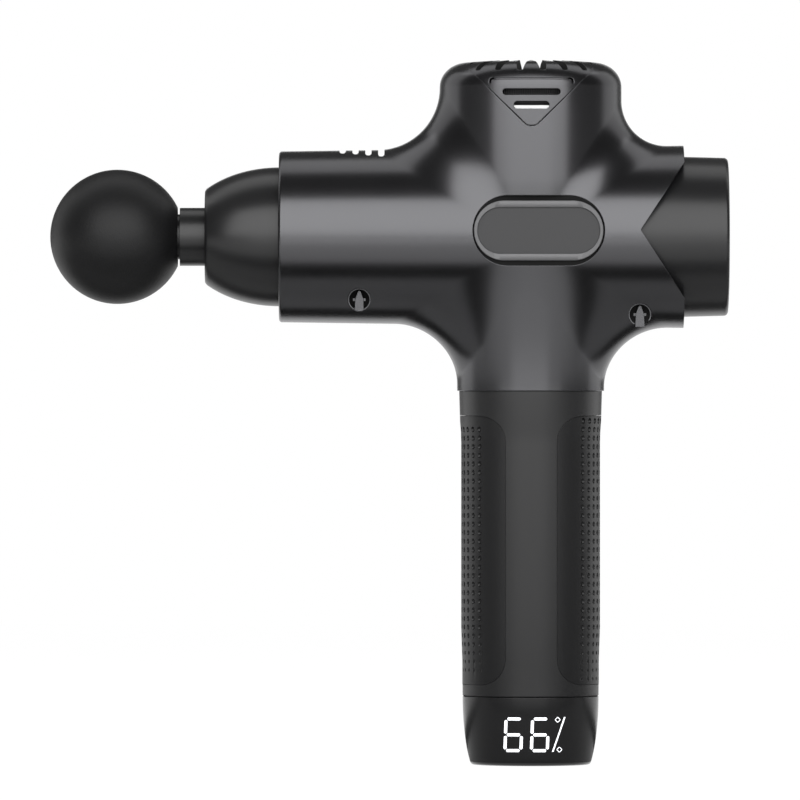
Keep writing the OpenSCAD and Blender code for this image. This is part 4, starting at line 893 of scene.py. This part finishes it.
# ---- Pieces that keep their plain solids ----
# The drive, the boards, the cells, the keys and the small outer pieces are simple enough to be shown as
# they are. Each gets the finish of what it is made of.
steel = finish("zinc steel", (0.55, 0.55, 0.56), 0.32, metallic=1.0, scale=900, depth=0.002, edge_mm=0.1)
oxide_steel = finish("black oxide steel", (0.003, 0.003, 0.003), 0.6, scale=900, depth=0.002,
                     edge_mm=0.1, specular=0.15)
alloy = finish("cast alloy", (0.42, 0.42, 0.43), 0.45, metallic=1.0, scale=700, depth=0.01, edge_mm=0.2)
copper = finish("copper wire", (0.62, 0.26, 0.12), 0.3, metallic=1.0, scale=1500, depth=0.01, edge_mm=0.1)
bronze = finish("bush bronze", (0.5, 0.3, 0.12), 0.38, metallic=1.0, scale=900, depth=0.004, edge_mm=0.1)
board = finish("board green", (0.01, 0.09, 0.035), 0.45, scale=1200, depth=0.004, edge_mm=0.1)
ivory = finish("holder ivory", (0.6, 0.58, 0.5), 0.5, scale=1500, depth=0.006)
wrap_blue = finish("cell wrap", (0.03, 0.12, 0.4), 0.35, scale=900, depth=0.002)
seal_rubber = finish("seal rubber", (0.012, 0.012, 0.012), 0.55, scale=1800, depth=0.008, edge_mm=0.15)
gloss_panel = finish("panel gloss", (0.01, 0.01, 0.011), 0.12, scale=700, depth=0.0004, edge_mm=0.15,
                     uneven=0.02, coat=0.5)
key_face = finish("key grey", (0.22, 0.22, 0.23), 0.35, metallic=0.6, scale=1800, depth=0.004, edge_mm=0.25)
light_pipe = finish("light pipe", (0.7, 0.75, 0.72), 0.3, scale=900, depth=0.001, edge_mm=0.1)
rocker_red = finish("rocker red", (0.28, 0.015, 0.012), 0.32, scale=1800, depth=0.004, edge_mm=0.25)
moulded = finish("moulded black", (0.015, 0.015, 0.016), 0.4, scale=1800, depth=0.006, edge_mm=0.2)
magnet = finish("magnet nickel", (0.35, 0.35, 0.36), 0.25, metallic=1.0, scale=700, depth=0.002, edge_mm=0.1)
finishes = {
    steel: ["motor_shaft", "motor_bearings", "crank_pin", "crank_roller", "plunger_rod",
            "plunger_sleeve", "jack_pin", "motor_stator", "battery_straps"],
    alloy: ["drive_frame", "motor_mount", "motor_rotor", "crank_disc", "yoke", "guide_tube"],
    copper: ["motor_windings"],
    bronze: ["plunger_bush", "tail_bush"],
    board: ["control_board", "drive_board", "battery_board", "display_board"],
    ivory: ["cell_holders"],
    wrap_blue: ["battery_cells"],
    seal_rubber: ["nose_seal", "stem_o_rings"],
    gloss_panel: ["control_panel"],
    key_face: ["power_button", "plus_key", "minus_key"],
    light_pipe: ["level_lights"],
    rocker_red: ["power_rocker"],
    moulded: ["bottom_plate", "charge_jack", "switch_frame", "cooling_fan"],
    magnet: ["rotor_magnets"],
    oxide_steel: ["housing_screws"],
}
for material, names in finishes.items():
    for name in names:
        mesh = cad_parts[name].data
        mesh.materials.clear()
        mesh.materials.append(material)

# ---- Studio ----
# White floor and far backdrop. A large soft light stands before and above the gun, a low one before it, one
# hangs overhead and one stands behind on each side. Cards on the floor darken what its underside mirrors.
MID_X = -0.0457


def background(name, glow_strength, matt, fade=None):
    """White to the camera and in reflections, and a plain matt surface to the light."""
    mat = bpy.data.materials.new(name)
    mat.use_nodes = True
    tree = mat.node_tree
    tree.nodes.clear()
    out = tree.nodes.new("ShaderNodeOutputMaterial")
    path = tree.nodes.new("ShaderNodeLightPath")
    seen = tree.nodes.new("ShaderNodeMath")
    seen.operation = "MAXIMUM"
    seen_too = tree.nodes.new("ShaderNodeMath")
    seen_too.operation = "MAXIMUM"
    plain = tree.nodes.new("ShaderNodeBsdfDiffuse")
    plain.inputs["Color"].default_value = (0.8, 0.8, 0.8, 1)
    faint = tree.nodes.new("ShaderNodeBsdfDiffuse")
    faint.inputs["Color"].default_value = (matt, matt, matt, 1)
    white = tree.nodes.new("ShaderNodeEmission")
    white.inputs["Strength"].default_value = glow_strength
    if fade:
        spot = tree.nodes.new("ShaderNodeTexCoord")
        parts = tree.nodes.new("ShaderNodeSeparateXYZ")
        away = tree.nodes.new("ShaderNodeMath")
        away.operation = "ABSOLUTE"
        ramp = tree.nodes.new("ShaderNodeMapRange")
        for socket, value in zip(("From Min", "From Max", "To Min", "To Max"), fade):
            ramp.inputs[socket].default_value = value
        tree.links.new(spot.outputs["Object"], parts.inputs[0])
        tree.links.new(parts.outputs[0], away.inputs[0])
        tree.links.new(away.outputs[0], ramp.inputs["Value"])
        tree.links.new(ramp.outputs[0], white.inputs["Strength"])
    both = tree.nodes.new("ShaderNodeAddShader")
    mix = tree.nodes.new("ShaderNodeMixShader")
    tree.links.new(path.outputs["Is Camera Ray"], seen.inputs[0])
    tree.links.new(path.outputs["Is Glossy Ray"], seen.inputs[1])
    tree.links.new(seen.outputs[0], seen_too.inputs[0])
    tree.links.new(path.outputs["Is Transmission Ray"], seen_too.inputs[1])
    tree.links.new(seen_too.outputs[0], mix.inputs[0])
    tree.links.new(plain.outputs[0], mix.inputs[1])
    tree.links.new(white.outputs[0], both.inputs[0])
    tree.links.new(faint.outputs[0], both.inputs[1])
    tree.links.new(both.outputs[0], mix.inputs[2])
    tree.links.new(mix.outputs[0], out.inputs["Surface"])
    return mat


floor = mesh_object("floor", [(-4000, -3000, 0), (4000, -3000, 0), (4000, 2500, 0), (-4000, 2500, 0)],
                    [(0, 1, 2, 3)])
floor.data.materials.append(background("white floor", 0.975, 0.07))
wall = mesh_object("backdrop", [(-2400, 2500, 0), (2400, 2500, 0), (2400, 2500, 900), (-2400, 2500, 900)],
                   [(0, 1, 2, 3)])
wall.data.materials.append(background("white backdrop", 1.0, 0.0, (0.35, 1.0, 1.0, 0.12)))
black_card = bpy.data.materials.new("black card")
black_card.use_nodes = True
black_card.node_tree.nodes["Principled BSDF"].inputs["Base Color"].default_value = (0.02, 0.02, 0.02, 1)
black_card.node_tree.nodes["Principled BSDF"].inputs["Roughness"].default_value = 0.9
grey_card = black_card.copy()
grey_card.name = "grey card"
grey_card.node_tree.nodes["Principled BSDF"].inputs["Base Color"].default_value = (0.62, 0.62, 0.62, 1)
for name, y0, y1, card in (("front_flag", -270, -135, black_card), ("under_flag", -135, 50, grey_card),
                           ("rear_flag", 50, 165, black_card)):
    flag = mesh_object(name, [(-900, y0, 1), (900, y0, 1), (900, y1, 1), (-900, y1, 1)], [(0, 1, 2, 3)])
    flag.data.materials.append(card)
    flag.visible_camera = flag.visible_shadow = flag.visible_diffuse = False

world = bpy.data.worlds.new("studio")
bpy.context.scene.world = world
world.use_nodes = True
world.node_tree.nodes["Background"].inputs["Color"].default_value = (1, 1, 1, 1)
world.node_tree.nodes["Background"].inputs["Strength"].default_value = 0.1


def panel(name, place, aim, w, h, power):
    light = bpy.data.lights.new(name, "AREA")
    light.shape, light.size, light.size_y, light.energy = "RECTANGLE", w, h, power
    obj = bpy.data.objects.new(name, light)
    bpy.context.scene.collection.objects.link(obj)
    obj.location = place
    toward = (np.array(aim) - np.array(place)).astype(float)
    obj.rotation_euler = Vector(toward).to_track_quat("-Z", "Y").to_euler()
    obj.visible_camera = False
    return obj


panel("front_soft_light", (MID_X, -1.2, 0.92), (MID_X, 0, 0.92), 2.6, 1.42, 33)
panel("front_low_light", (MID_X, -1.2, 0.1), (MID_X, 0, 0.1), 1.3, 0.2, 0.9)
panel("top_light", (MID_X, 0.4, 1.35), (MID_X, 0, 0.2), 2.6, 0.66, 6)
for label, side in (("left", -1), ("right", 1)):
    panel(label + "_side_light", (side * 1.3 + MID_X, 0.95, 0.75), (MID_X, 0.95, 0.75), 1.3, 1.5, 4.6)

camera = bpy.data.objects.new("camera", bpy.data.cameras.new("camera"))
bpy.context.scene.collection.objects.link(camera)
CAMERA_AWAY, CAMERA_H, LENS_PER_METRE = 4.0, 0.1275, 225 / 1.75
camera.location = (MID_X, -CAMERA_AWAY, CAMERA_H)
camera.rotation_euler = (math.radians(90), 0, 0)
camera.data.lens = LENS_PER_METRE * CAMERA_AWAY
camera.data.sensor_width = 36
camera.data.clip_start = 0.05
bpy.context.scene.camera = camera
bpy.context.scene.view_settings.view_transform = "Standard"
